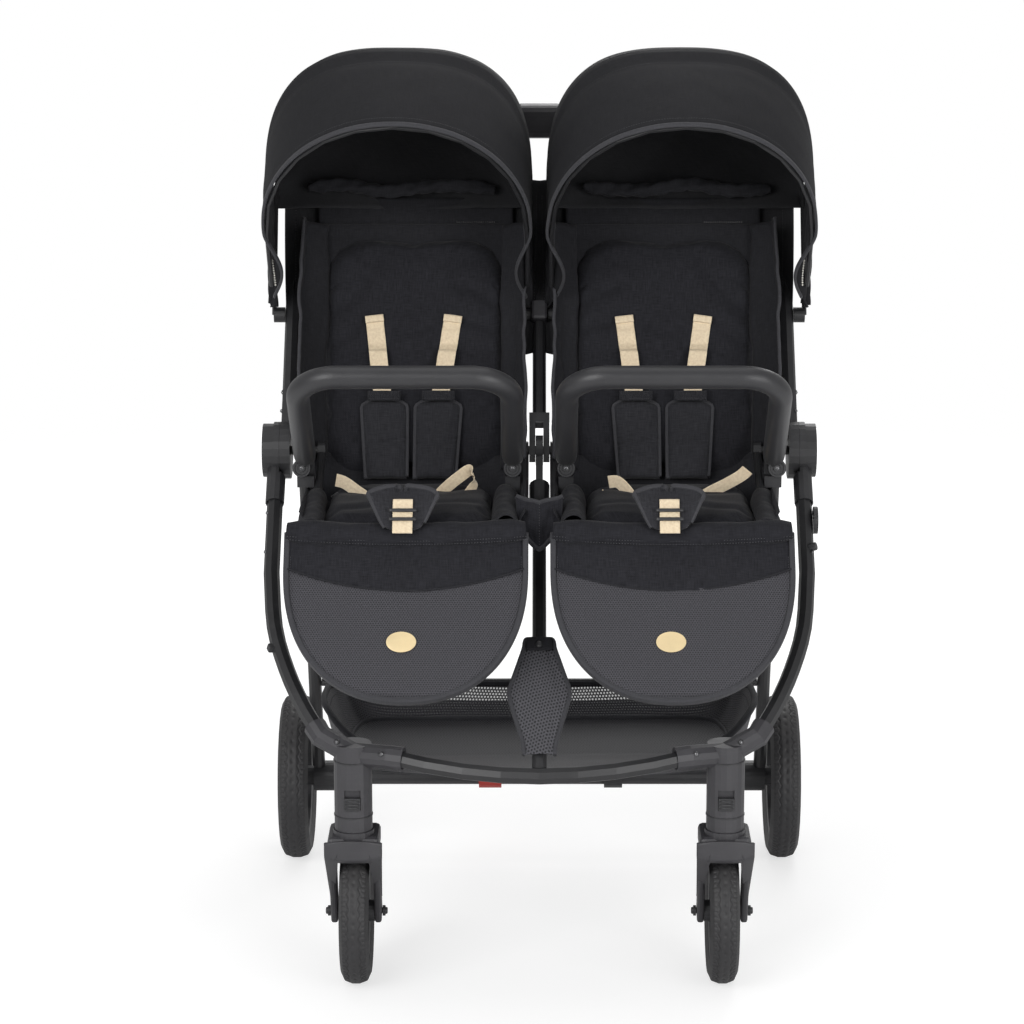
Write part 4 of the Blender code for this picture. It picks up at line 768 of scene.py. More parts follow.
def cloth_length(grid, across):
    """Mean length of a grid's rows, or of its columns, in metres."""
    steps = np.linalg.norm(np.diff(grid, axis=1 if across else 0), axis=-1)
    return float(steps.sum(1 if across else 0).mean())

# %% Hood cloths
WAY = np.linspace(0, 1, 121)
RIM_STEPS = 161
RIM_LEAN = (0.0, -0.777, -0.629)
HOOD_CLOTH_THICK = 0.0018
for side_name, side in SIDES:
    body = "hood_cloth_" + side_name
    for part, low, high in (("rear", -1.0, 0.0), ("front", 0.0, 1.0)):
        share, way = np.meshgrid(np.linspace(low, high, 25), WAY, indexing="ij")
        grid = hood_sheet(side, share, way)
        made = surface(f"hood_{part}_{side_name}", grid, HOOD_CLOTH, None,
                       uv=measured_uv(grid))
        made.data.materials.append(LINING)
        wall = made.modifiers.new("cloth", "SOLIDIFY")
        wall.thickness, wall.offset, wall.material_offset = HOOD_CLOTH_THICK, 0.0, 1
        rear_top, middle_top, front_top = (hood_sheet(side, np.array(s), np.array(0.5))
                                           for s in (-1.0, 0.0, 1.0))
        if part == "rear":
            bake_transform(made)
            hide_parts("hood_canopy_" + side_name)
        else:
            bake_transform(made)
    edge = hood_sheet(side, np.full(RIM_STEPS, 1.0), np.linspace(0.03, 0.97, RIM_STEPS))
    tape = eased(edge[::2], RIM_STEPS)
    swept("hood_rim_tape_" + side_name, tape, rounded(0.0072, 0.0040, 3.0), RIM_LEAN, BINDING,
          "hood_rim_" + side_name)
    lines = [hood_sheet(side, np.full(RIM_STEPS, s), np.linspace(0.2, 0.8, RIM_STEPS))
             for s in (0.16, 0.93)]
    lift = [line + unit(line - np.array([side * HOOD_X, HOOD_Y, HOOD_Z])) * 0.0008 for line in lines]
    stitched("hood_seam_" + side_name, lift[:1], THREAD, body, pitch=SEAM_PITCH)
    stitched("hood_edge_seam_" + side_name, lift[1:], THREAD, "hood_rim_" + side_name,
             pitch=SEAM_PITCH)
    zipped = np.linspace(0.055, 0.125, 40)
    zipped = zipped if side < 0 else 1 - zipped
    teeth = hood_sheet(side, np.full(40, 0.86), zipped) + np.array([side * 0.0010, -0.0016, 0.0])
    stitched("zip_beads_" + side_name, [teeth], ZIP_TEETH, "hood_rim_" + side_name,
             pitch=0.0046, long=0.0026, thick=0.0017)
print("hood cloth", round(cloth_length(grid, True), 3), "m over the arch")

# %% [markdown]
# The back of the hood is a second cloth inside the rear bow. It hangs from the arch to the top of the
# seat back, bellies out a little behind, and carries a rolled-up ventilation flap along its lower edge.

# %% Hood back and rolled flap
for side_name, side in SIDES:
    across = np.linspace(-1, 1, 61)[None, :] * np.ones((33, 1))
    down = np.linspace(0, 1, 33)[:, None] * np.ones((1, 61))
    half = HOOD_WIDTH / 2 + 0.001
    arch = HOOD_SIDE + (HOOD_R - 0.005 - HOOD_SIDE) * np.clip(1 - np.abs(across) ** 2.9, 0, 1) ** 0.345
    low = 0.150
    reach = low + (arch - low) * down
    belly = 0.020 * np.sin(pi * down) ** 0.7 * (1 - across ** 2)
    belly = belly + 0.0035 * ripple(5 * across, 6 * down, 11 + int(side))
    grid = on_plane(side, reach, REAR - belly / np.maximum(reach, 0.05), across * half)
    made = surface("hood_back_" + side_name, grid, LINING, "upper_frame",
                   uv=measured_uv(grid))
    walled(made, LINING_THICK)
    s = np.linspace(-1, 1, 90)
    middle = on_plane(side, 0.176 + 0.004 * np.sin(5 * s + side), REAR + 0.058, s * 0.128)
    t = round_turn(20)
    rough = 1 + 0.16 * np.sin(3 * t[None] + 9 * s[:, None])
    rough = rough + 0.12 * np.sin(34 * s[:, None] + 2 * t[None] + side)
    size = rough * (0.6 + 0.4 * np.clip((1 - np.abs(s)) * 8, 0, 1))[:, None]
    section = np.stack([np.cos(t) * 0.0085 * size, np.sin(t) * 0.0065 * size], -1)
    swept("hood_flap_roll_" + side_name, middle, section, (0.0, 0.3, 1.0), WING_CLOTH, "upper_frame")

# %% [markdown]
# ## Seat backs and seats
# A stroller cushion is a quilted cover over thin foam: crowned in the middle, drawn in at the seams, and
# creased where the harness pulls. Each starts as a slim box with rounded edges. It is remeshed, blown up
# a little as cloth under pressure, and kept from moving far, so that it stays in its place. Then the soft
# diagonal creases are pressed in along the normals.

# %% Cushion builder
SEAT_X = 0.169
VOXEL = 0.0055
CUSHION_PRESSURE = 4.0
CUSHION_FRAMES = 16


class Plane:
    """A leaning plane in the side view: origin and angle give its length direction and its face."""

    def __init__(self, y, z, degrees, flip=False):
        angle = radians(degrees)
        self.start = np.array([0.0, y, z])
        self.ahead = np.array([0.0, np.cos(angle), np.sin(angle)])
        self.face = np.array([0.0, -np.sin(angle), np.cos(angle)]) * (-1 if flip else 1)

    def at(self, x, a, h):
        """Points at x, at a along the plane and h out of its face."""
        x, a, h = np.broadcast_arrays(np.asarray(x, float), np.asarray(a, float), np.asarray(h, float))
        return (self.start + x[..., None] * np.array([1.0, 0.0, 0.0]) + a[..., None] * self.ahead
                + h[..., None] * self.face)

    def inside(self, points):
        """The x, a and h of points."""
        local = points - self.start
        return local[..., 0], local @ self.ahead, local @ self.face


BACK = Plane(0.050, 0.578, 62)
BASE = Plane(0.033, 0.575, 180, flip=True)
# The seat lies level, so its face points straight up.
BASE.face = np.array([0.0, 0.0, 1.0])


def slab(width, low, high, thickness, power=5.0, rings=26, sides=120):
    """Closed cushion form in x, a, h: superellipse rings, from the middle of the back to the front's."""
    t = round_turn(sides)
    reach = np.linspace(0, pi, rings)[:, None]
    inset = np.abs(np.sin(reach)) ** 0.32
    c, s = np.cos(t)[None], np.sin(t)[None]
    x = inset * np.sign(c) * np.abs(c) ** (2 / power) * width / 2
    a = inset * np.sign(s) * np.abs(s) ** (2 / power) * (high - low) / 2 + (low + high) / 2
    h = -np.cos(reach) * thickness / 2 * np.ones_like(t)[None]
    return x, a, h

# %% Blowing up a cushion
def puffed(name, plane, width, low, high, thickness, middle_h, body, finish, swell, creases):
    """Cushion blown up as cloth inside its cover, for the left seat and the right one."""
    x, a, h = slab(width, low, high, thickness)
    grid = plane.at(x, a, h + middle_h)
    start = surface(name + "_form", grid, finish, None, wrap=(False, True))
    bpy.context.view_layer.objects.active = start
    remesh = start.modifiers.new("remesh", "REMESH")
    remesh.mode, remesh.voxel_size = "VOXEL", VOXEL
    graph = bpy.context.evaluated_depsgraph_get()
    shape = bpy.data.meshes.new_from_object(start.evaluated_get(graph))
    bpy.data.objects.remove(start)
    before = read_from(shape.vertices, "co")
    points = before.copy()
    blown = bpy.data.objects.new(name + "_blown", shape)
    bpy.context.scene.collection.objects.link(blown)
    sim = blown.modifiers.new("cloth", "CLOTH")
    sim.settings.use_pressure = True
    sim.settings.uniform_pressure_force = CUSHION_PRESSURE
    sim.settings.effector_weights.gravity = 0.0
    sim.settings.quality = 4
    sim.settings.shrink_min = -0.03
    scene = bpy.context.scene
    for frame_number in range(1, CUSHION_FRAMES + 1):
        scene.frame_set(frame_number)
    graph = bpy.context.evaluated_depsgraph_get()
    after = blown.evaluated_get(graph).to_mesh()
    step = read_from(after.vertices, "co") - before
    far = np.linalg.norm(step, axis=1, keepdims=True)
    points = before + step * np.minimum(1.0, swell / np.maximum(far, 1e-9))
    blown.evaluated_get(graph).to_mesh_clear()
    bpy.data.objects.remove(blown)
    scene.frame_set(1)
    px, pa, ph = plane.inside(points)
    front = np.clip((ph - middle_h) / (thickness / 2), -1, 1)
    made_pieces = []
    for side_name, side in SIDES:
        dent = creases(px, pa, side) * (front > 0) * np.clip(front * 1.6, 0, 1)
        moved = plane.at(px + side * SEAT_X, pa, ph + dent)
        mesh = shape.copy()
        mesh.vertices.foreach_set("co", moved.reshape(-1).astype(np.float32))
        mesh.update()
        corners = read_from(mesh.loops, "vertex_index", 1, np.int32)[:, 0]
        while mesh.uv_layers:
            mesh.uv_layers.remove(mesh.uv_layers[0])
        layer = mesh.uv_layers.new(name="UVMap")
        flat = np.stack([px + ph * 0.7, pa + ph * 0.7], -1)[corners]
        layer.data.foreach_set("uv", flat.reshape(-1).astype(np.float32))
        made = piece_from(mesh, f"{name}_{side_name}", finish, None)
        soft = made.modifiers.new("round", "SUBSURF")
        soft.levels = soft.render_levels = 1
        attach(made, body.replace("SIDE", side_name))
        made_pieces.append(made)
    furthest = float(np.linalg.norm(points - before, axis=1).max())
    print(name, len(points), "points, moved up to", round(furthest * 1000, 1), "mm")
    return made_pieces

# %% Creases
def crease(x, a, from_x, from_a, to_x, to_a, depth, width):
    """Valley with soft shoulders along a line on the cushion, fading at its ends."""
    run = np.array([to_x - from_x, to_a - from_a])
    size = float(np.hypot(*run))
    run = run / size
    way = ((x - from_x) * run[0] + (a - from_a) * run[1]) / size
    off = (x - from_x) * -run[1] + (a - from_a) * run[0]
    off = off + 0.006 * np.sin(way * 4.1)
    ends = np.clip(way * 5, 0, 1) * np.clip((1 - way) * 5, 0, 1)
    shoulder = (off - 2.0 * width) / (1.2 * width)
    return ends * depth * (-np.exp(-(off / width) ** 2) + 0.55 * np.exp(-shoulder ** 2))

# %% Seat backs
BACK_CREASES = ((-0.13, 0.235, -0.05, 0.300, 0.0040, 0.010), (-0.13, 0.275, -0.02, 0.330, 0.0030, 0.012),
                (0.13, 0.235, 0.05, 0.290, 0.0040, 0.010), (0.13, 0.205, 0.045, 0.232, 0.0034, 0.008),
                (-0.13, 0.190, -0.055, 0.236, 0.0034, 0.008), (-0.02, 0.345, 0.09, 0.300, 0.0022, 0.014),
                (-0.13, 0.120, -0.06, 0.150, 0.0028, 0.009), (0.13, 0.125, 0.07, 0.140, 0.0028, 0.009),
                (-0.03, 0.215, 0.03, 0.222, 0.0030, 0.008), (0.0, 0.190, 0.01, 0.310, 0.0016, 0.016))


def back_creases(x, a, side):
    """The seat back's creases, and a faint unevenness all over."""
    total = 0.0016 * ripple(22 * x, 18 * a, 20 + int(side))
    for from_x, from_a, to_x, to_a, depth, width in BACK_CREASES:
        total = total + crease(x * (1 if side < 0 else -1), a, from_x, from_a, to_x, to_a, depth, width)
    return total


cushions = puffed("back_cushion", BACK, 0.258, 0.010, 0.352, 0.026, 0.002, "back_SIDE", SEAT_CLOTH, 0.007,
                  back_creases)
for (side_name, side), made in zip(SIDES, cushions):
    x, a = two_ways((-0.133, 0.133, 61), (0.300, 0.409, 25))
    lift = 0.006 + 0.0035 * np.sin(pi * np.clip((a - 0.355) / 0.05, 0, 1))
    lift = lift + 0.0012 * ripple(24 * x, 40 * a, 31 + int(side))
    grid = BACK.at(side * SEAT_X + x, a, lift)
    panel = surface("back_top_" + side_name, grid, WING_CLOTH, "back_" + side_name,
                    uv=np.stack([x, a], -1))
    walled(panel, 0.012, -1.0)
    seam = BACK.at(side * SEAT_X + np.linspace(-0.128, 0.128, 80), 0.3694, 0.0105)
    swept("back_top_seam_" + side_name, seam, rounded(0.0016, 0.0012), (0, 0, 1), LINING,
          "back_" + side_name)
    holes = BACK.at(side * SEAT_X + np.linspace(0.055, 0.108, 30), 0.3720, 0.0112)
    stitched("back_pinholes_" + side_name, [holes], PALE_THREAD, "back_" + side_name, 0.0030,
             0.0005, 0.0004)
    x, a = two_ways((-0.131, 0.131, 31), (0.004, 0.402, 41))
    grid = BACK.at(side * SEAT_X + x, a, -0.0135 - 0.0018 * (1 - (x / 0.14) ** 2))
    shell = surface("back_rear_" + side_name, grid, WING_CLOTH, "back_" + side_name,
                    uv=np.stack([x, a], -1))
    walled(shell, 0.003, -1.0)
    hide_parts("backrest_" + side_name)

# %% Seat cushions
SEAT_CREASES = ((-0.11, 0.050, -0.03, 0.085, 0.0030, 0.009), (0.11, 0.060, 0.03, 0.090, 0.0030, 0.009),
                (-0.10, 0.150, -0.02, 0.140, 0.0024, 0.010), (0.10, 0.165, 0.02, 0.150, 0.0024, 0.010))


def seat_creases(x, a, side):
    """The seat's creases."""
    total = 0.0014 * ripple(20 * x, 20 * a, 40 + int(side))
    for from_x, from_a, to_x, to_a, depth, width in SEAT_CREASES:
        total = total + crease(x * side, a, from_x, from_a, to_x, to_a, depth, width)
    return total


cushions = puffed("seat_pad", BASE, 0.226, 0.008, 0.222, 0.024, 0.002, "seat_base", SEAT_CLOTH, 0.006,
                  seat_creases)
for (side_name, side), made in zip(SIDES, cushions):
    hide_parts("seat_cushion_" + side_name)

# %% [markdown]
# The front edge of each seat is a soft roll over the front bar, where the leg rest hinges. It sags a
# little in the middle and has two rows of stitching. Thin cloth rises over each side of the seat, and a
# side wing runs up along each side of the seat back.

# %% Seat rolls and side covers
for side_name, side in SIDES:
    s = np.linspace(-1, 1, 81)
    x = side * SEAT_X + s * 0.152
    dip = 0.010 * (1 - s ** 2)
    path = np.stack([x, -0.2070 - 0.002 * (1 - s ** 2), 0.5805 - dip * 0.6], -1)
    t = round_turn(28)
    wave = 1 + 0.05 * np.sin(3 * t[None] + 12 * s[:, None])
    wave = wave + 0.04 * ripple(9 * s[:, None], 2 * np.sin(t)[None], 51 + int(side))
    size = wave * (0.72 + 0.28 * np.clip((1 - np.abs(s)) * 9, 0, 1))[:, None]
    section = np.stack([np.cos(t) * 0.0150 * size, np.sin(t) * 0.0165 * size], -1)
    roll = swept("seat_roll_" + side_name, path, section, (0.0, -0.5, 0.85), SEAT_CLOTH, "seat_base")
    rows = [path + np.array([0.0, -0.0155, -0.0035 - 0.0042 * k]) for k in (0, 1)]
    stitched("seat_roll_seams_" + side_name, rows, THREAD, "seat_base", pitch=0.0036)
    for edge, out in (("outer", 1), ("inner", -1)):
        u, v = two_ways((0, 1, 41), (0, 1, 33))
        over = pi * (0.05 + 0.9 * u)
        y = -0.206 + v * (0.146 if out > 0 else 0.140)
        rise = 0.028 + 0.006 * v
        x = side * SEAT_X + side * out * (0.1255 - 0.0165 * np.cos(over))
        x = x + 0.0012 * ripple(9 * v, 4 * u, 61 + out)
        z = 0.573 + rise * np.sin(over) ** 0.7 - 0.012 * u * (out > 0)
        z = z + 0.0012 * ripple(12 * v, 5 * u, 67 + out)
        cover = surface(f"seat_side_{edge}_{side_name}", np.stack([x, y, z], -1), WING_CLOTH, "seat_base",
                        uv=np.stack([u * 0.08, v * 0.15], -1))
        walled(cover, 0.002)

# %% Side wings of the seat backs
for side_name, side in SIDES:
    for edge, out in (("outer", 1), ("inner", -1)):
        v, u = two_ways((0, 1, 61), (0, 1, 25), "ij")
        a = 0.020 + 0.345 * v
        inner = BACK.at(side * (SEAT_X + out * 0.118), a, 0.016)
        reach = 0.105 - 0.055 * v if out > 0 else 0.070 - 0.035 * v
        outer_x = 0.1515 if out > 0 else 0.1495
        outer = BACK.at(side * (SEAT_X + out * outer_x), a, reach)
        bow = np.sin(pi * u)[..., None]
        fold = 0.0035 * np.sin(7 * u + 3 * v + out) * np.sin(pi * u)
        fold = fold + 0.0020 * ripple(7 * u, 14 * v, 71 + out)
        grid = inner + (outer - inner) * u[..., None] ** 0.85
        grid = grid + bow * np.array([side * out * 0.006, 0.0, 0.0])
        grid = grid + fold[..., None] * np.array([side * out, -0.6, 0.0])
        wing = surface(f"wing_{edge}_{side_name}", grid, WING_CLOTH, None,
                       uv=measured_uv(grid))
        walled(wing, 0.0022)
        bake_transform(wing)
        swept(f"wing_piping_{edge}_{side_name}", grid[:, -1], rounded(0.0045, 0.0045), (1, 0, 0), BINDING,
              "upper_frame")

# %% [markdown]
# ## Harness
# Straps are flat woven tape, so each is a slim section carried along a path. Their places come from the
# picture: a picture place and a depth give one point in the room, by the camera's own geometry. The
# shoulder straps are laid on the cushion that is there, which short rays cast at its face find.

# %% Points by sight
PICTURE = 1024
MIDDLE_PX, MIDDLE_PY = 539.3, 516.0
FOCUS = LENS / SENSOR * PICTURE


def sight(px, py, y):
    """Point at depth y that the camera sees at a picture place, in the 1024-pixel photograph."""
    px, py, y = np.broadcast_arrays(np.asarray(px, float), np.asarray(py, float), np.asarray(y, float))
    z = np.full(px.shape, 0.6)
    for _ in range(6):
        deep = DISTANCE + y * np.cos(PITCH) - (z - AIM.z) * np.sin(PITCH)
        z = AIM.z + ((MIDDLE_PY - py) * deep / FOCUS - y * np.sin(PITCH)) / np.cos(PITCH)
    return np.stack([(px - MIDDLE_PX) * deep / FOCUS, y, z], -1)


def ribbon(name, path, width, side, finish, body, thickness=0.0014):
    """Flat tape along a path, its width along side."""
    return swept(name, path, rounded(width, thickness, 5.0, 20), side, finish, body)


RAY_START = 0.09


def lie(plane, x, a, lift, least, half=0.011):
    """Height over a plane at which a strap lies on what is already there, smoothed along it."""
    bpy.context.view_layer.update()
    graph, high = bpy.context.evaluated_depsgraph_get(), []
    for px, pa in zip(np.broadcast_to(x, a.shape), a):
        tops = [least]
        for off in (-half, 0.0, half):
            start, foot = plane.at(np.array([px + off] * 2), np.array([pa] * 2), np.array([RAY_START, 0.0]))
            inward = Vector(foot - start).normalized()
            found, place, *_ = bpy.context.scene.ray_cast(graph, Vector(start), inward, distance=RAY_START)
            if found:
                tops.append(RAY_START - float(np.linalg.norm(np.array(place) - start)))
        high.append(max(tops))
    high = np.array(high)
    return np.maximum(high, smoothed(high, 9)) + lift

# %% Shoulder straps and pads
for side_name, side in SIDES:
    body = "back_" + side_name
    for edge, out in (("outer", -1), ("inner", 1)):
        foot_x, top_x = side * SEAT_X + out * 0.0365 - 0.003, side * SEAT_X + out * 0.0535 - 0.001
        a = np.linspace(0.1165, 0.2335, 50)
        x = foot_x + (top_x - foot_x) * (a - 0.100) / 0.1335
        path = BACK.at(x, a, lie(BACK, x, a, 0.0012, 0.0185))
        ribbon(f"shoulder_strap_{edge}_{side_name}", path, 0.0240, (1, 0, 0), GOLD_WEBBING, body)
        fold = path[-5:] + 0.0020 * BACK.face
        ribbon(f"strap_fold_{edge}_{side_name}", fold, 0.0250, (1, 0, 0), GOLD_WEBBING, body, 0.0030)
        u, v = two_ways((-1, 1, 41), (0, 1, 61))
        taper = np.clip(1 - ((v - 0.90) / 0.10).clip(0) ** 2.2 * 0.55, 0, 1) * (0.88 + 0.12 * v)
        x = side * SEAT_X - 0.003 + out * (0.0325 + 0.004 * v) + u * 0.0305 * taper
        a = 0.004 + 0.110 * v
        plump = np.clip(1 - np.abs(u) ** 4, 0, 1) ** 0.5
        plump = plump * np.clip(1 - np.abs(2 * v - 1) ** 12, 0, 1) ** 0.5
        line = np.exp(-((v - 0.46 - 0.04 * u) / 0.018) ** 2)
        line = line + 0.6 * np.exp(-((v - 0.40 - 0.05 * u) / 0.015) ** 2)
        h = 0.0235 + 0.0085 * plump - 0.0022 * line + 0.0010 * ripple(4 * u, 6 * v, 81 + out + int(side))
        grid = BACK.at(x, a, h + 0.004 * (1 - v))
        pad = surface(f"shoulder_pad_{edge}_{side_name}", grid, PAD_CLOTH, body,
                      uv=np.stack([x, a], -1))
        walled(pad, PAD_THICK, -1.0)
        rim = np.concatenate([grid[:-1, 0], grid[-1, :-1], grid[:0:-1, -1]])[::2]
        ribbon(f"pad_binding_{edge}_{side_name}", rim, 0.0052, BACK.face, BINDING, body, 0.0062)
        strip_x, strip_a = np.full(10, x[-1].mean()), np.linspace(0.1105, 0.1235, 10)
        strip = BACK.at(strip_x, strip_a, lie(BACK, strip_x, strip_a, 0.0022, 0.0235))
        ribbon(f"pad_strip_{edge}_{side_name}", strip, 0.0440, (1, 0, 0), PAD_CLOTH, body, 0.0030)
        comb = [strip + (off, 0.0, 0.0) + 0.0018 * BACK.face for off in np.linspace(-0.020, 0.020, 14)]
        stitched(f"pad_ribs_{edge}_{side_name}", comb, PAD_CLOTH, body, pitch=0.0030,
                 long=0.0016, thick=0.0009)
    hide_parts("harness_" + side_name)

# %% Waist straps and the crotch pad
WAIST_STEPS = 40
SHIFTS = {"left": 0.0, "right": 270.5}
WAIST = {
    "left": (([(336, 480), (345, 483), (358, 492), (372, 501), (381, 505)], 0.0195),
             ([(434, 500), (446, 488), (458, 478), (470, 470), (473, 476)], 0.0175),
             ([(473, 474), (474, 484), (466, 496), (456, 506), (448, 512)], 0.0150)),
    "right": (([(338, 482), (347, 482), (356, 490), (365, 500), (380, 505)], 0.0185),
              ([(427, 500), (440, 492), (456, 484), (470, 476), (477, 470)], 0.0180),
              ([(330, 492), (338, 500), (346, 508), (356, 513)], 0.0130)),
}
for side_name, side in SIDES:
    shift = SHIFTS[side_name]
    for k, (spots, width) in enumerate(WAIST[side_name]):
        spots = np.array(spots, float)
        deep = -0.040 - 0.012 * np.linspace(0, 1, len(spots))
        path = eased(sight(spots[:, 0] + shift, spots[:, 1], deep), WAIST_STEPS)
        twist = 0.25 * np.cos(np.linspace(0, 2.2, WAIST_STEPS) + k)
        lean = np.stack([twist, -0.35 * np.ones(WAIST_STEPS), np.ones(WAIST_STEPS)], -1)
        ribbon(f"waist_strap_{k + 1}_{side_name}", path, width, lean, GOLD_WEBBING, "seat_base")
    flap_px, flap_py = np.array([334, 342, 352, 363]) + shift, np.array([494, 503, 511, 515])
    label = eased(sight(flap_px, flap_py, -0.036), 20)
    ribbon("care_flap_" + side_name, label, 0.0130, (0.1, -0.35, 1), BLACK_WEBBING, "seat_base")
    foot, top = np.array([-0.2245, 0.5860]), np.array([-0.1850, 0.6300])
    u, v = two_ways((-1, 1, 49), (0, 1, 41))
    half = 0.0200 + 0.0245 * np.clip(v / 0.8, 0, 1) ** 0.8
    half = half * np.clip(1 - ((v - 0.72) / 0.30).clip(0) ** 2.6, 0, 1)
    half = half * np.clip(v * 9 + 0.5, 0, 1) ** 0.4
    middle_x = side * SEAT_X - 0.004
    cup = 0.0100 * u ** 2 * v + 0.0050 * np.sin(pi * v)
    y = foot[0] + (top[0] - foot[0]) * v - cup * 0.75
    z = foot[1] + (top[1] - foot[1]) * v + cup * 0.66 - 0.0035 * (1 - u ** 2) * v
    grid = np.stack([middle_x + u * half, y, z], -1)
    fan = surface("crotch_pad_" + side_name, grid, PAD_CLOTH, "seat_base",
                  uv=np.stack([u * half, v * 0.06], -1))
    walled(fan, PAD_THICK)
    rim = np.concatenate([grid[2:-1, 0], grid[-1, :-1], grid[:1:-1, -1]])
    ribbon("crotch_binding_" + side_name, eased(rim[::6], 90), 0.0052, (0, -0.7, 0.7), BINDING,
           "seat_base", 0.0060)
    v = np.linspace(-0.16, 0.66, 24)
    strap_y = foot[0] + (top[0] - foot[0]) * v - 0.0085
    strap_z = foot[1] + (top[1] - foot[1]) * v + 0.0062
    strap = np.stack([np.full(24, middle_x), strap_y, strap_z], -1)
    ribbon("crotch_strap_" + side_name, strap, 0.0255, (1, 0, 0), GOLD_WEBBING, "seat_base", 0.0022)
    for k, share in enumerate((0.42, 0.66)):
        bar = strap[int(share * 23)] + np.array([0.0, -0.0030, 0.0020])
        line = bar + np.linspace(-0.0175, 0.0175, 12)[:, None] * np.array([1.0, 0.0, 0.0])
        swept(f"triglide_bar_{k + 1}_{side_name}", line, rounded(0.0045, 0.0036, 3.0), (0, 0.5, 1), PLASTIC,
              "seat_base")

# %% [markdown]
# ## Leg rests
# A leg rest is a stiff board covered in plain cloth at the top and honeycomb mesh below a curved seam,
# bound all round with a paler tape. Its outline runs straight down, then follows a superellipse. A small
# plain gold oval sits on it.

# %% Leg rest boards
REST = Plane(-0.2052, 0.576, 232, flip=True)
REST_LENGTH = 0.2285
REST_HALF = 0.1515
REST_STRAIGHT = 0.046


def rest_half(a):
    """Half-width of the leg rest at a along it."""
    v = np.clip((a - REST_STRAIGHT) / (REST_LENGTH - REST_STRAIGHT), 0, 1)
    return REST_HALF * np.clip(1 - v ** 2.35, 0, 1) ** (1 / 2.2)


def rest_rows(straight, curved):
    """Places along the leg rest: even down the straight part, then closer and closer to the tip."""
    turn = np.linspace(0, pi / 2, curved)
    tip = REST_STRAIGHT + (REST_LENGTH - REST_STRAIGHT) * np.sin(turn)
    return np.concatenate([np.linspace(0.0, REST_STRAIGHT, straight)[:-1], tip])


def rest_seam(x):
    """Where the curved seam crosses, along the leg rest."""
    return 0.0810 - 0.0310 * (x / REST_HALF) ** 2


for side_name, side in SIDES:
    body = "leg_board_" + side_name
    u, a = np.meshgrid(np.linspace(-1, 1, 121), rest_rows(16, 90), indexing="xy")
    x = u * rest_half(a)
    edge = np.clip((1 - np.abs(u) ** 6), 0, 1) ** 0.5 * np.clip((REST_LENGTH - a) / 0.012, 0, 1) ** 0.5
    groove = np.exp(-((a - rest_seam(x)) / 0.0022) ** 2)
    sunk = 0.0012 * ripple(16 * x, 13 * a, 90 + int(side))
    h = 0.0055 * edge + sunk - 0.0012 * groove
    h = h + 0.0016 * np.exp(-((x - 0.02 * side) / 0.03) ** 2) * np.sin(16 * a)
    grid = REST.at(side * SEAT_X + x, a, h)
    board = surface("leg_rest_cloth_" + side_name, grid, SEAT_CLOTH, body,
                    uv=np.stack([x, a], -1))
    board.data.materials.append(HONEY_MESH)
    face_x, face_a, _ = REST.inside(read_from(board.data.polygons, "center").astype(float))
    which = (face_a > rest_seam(face_x - side * SEAT_X)).astype(np.int32)
    board.data.polygons.foreach_set("material_index", which)
    walled(board, 0.0090, -1.0)
    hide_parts("leg_rest_" + side_name)
    outline_a = rest_rows(12, 60)
    half = rest_half(outline_a)
    rim_x = np.concatenate([-half, half[-2::-1]])
    rim_a = np.concatenate([outline_a, outline_a[-2::-1]])
    rim = eased(REST.at(side * SEAT_X + rim_x, rim_a, -0.0010), 240)
    ribbon("leg_rest_binding_" + side_name, rim, 0.0125, REST.face, BINDING, body, 0.0075)
    line_x = np.linspace(-REST_HALF + 0.002, REST_HALF - 0.002, 90)
    line = REST.at(side * SEAT_X + line_x, rest_seam(line_x), 0.0052)
    ribbon("leg_rest_seam_" + side_name, line, 0.0024, (0, -0.6, -0.8), WING_CLOTH, body, 0.0014)
    inner = REST.at(side * SEAT_X + rim_x * 0.965, np.clip(rim_a, 0.004, REST_LENGTH - 0.0062), 0.0056)
    stitched("leg_rest_stitching_" + side_name, [inner[8:-8]], THREAD, body,
             pitch=SEAM_PITCH)
    t, r = np.meshgrid(round_turn(48), np.array([0.0, 0.5, 0.9, 1.0, 1.0]), indexing="xy")
    rise = np.array([0.0, 0.0, 0.0, -0.0003, -0.0016])[:, None]
    oval_x = side * SEAT_X - 0.004 + 0.0188 * r * np.cos(t)
    oval = REST.at(oval_x, 0.1520 + 0.0138 * r * np.sin(t), 0.0086 + rise)
    surface("gold_oval_" + side_name, oval, GOLD_PATCH, body, wrap=(False, True), crisp=50)
print("leg rest", round(2 * REST_HALF, 3), "m wide")

# %% [markdown]
# ## Belly bars
# Each seat has a bar across it: a bent tube in smooth black foam, with a screwed disc at each foot that
# turns in a socket on the seat frame. The foam is a circle carried round two rounded corners.

# %% Belly bars
BAR = Plane(-0.040, 0.630, 138)
BAR_INNER, BAR_OUTER = 0.035, 0.307
BAR_REACH, BAR_CORNER, FOAM_R = 0.222, 0.052, 0.0148
# Outlines of the disc and its screw, as (distance out of the face, radius).
BAR_DISC = [(-0.020, 0.0), (-0.020, 0.0112), (0.0090, 0.0122), (0.0112, 0.0114), (0.0112, 0.0092),
            (0.0094, 0.0086), (0.0094, 0.0050), (0.0118, 0.0044), (0.0118, 0.0022), (0.0096, 0.0014),
            (0.0096, 0.0)]
BAR_SCREW = [(0.0092, 0.0), (0.0092, 0.0030), (0.0116, 0.0028), (0.0119, 0.0014), (0.0106, 0.0011),
             (0.0106, 0.0)]


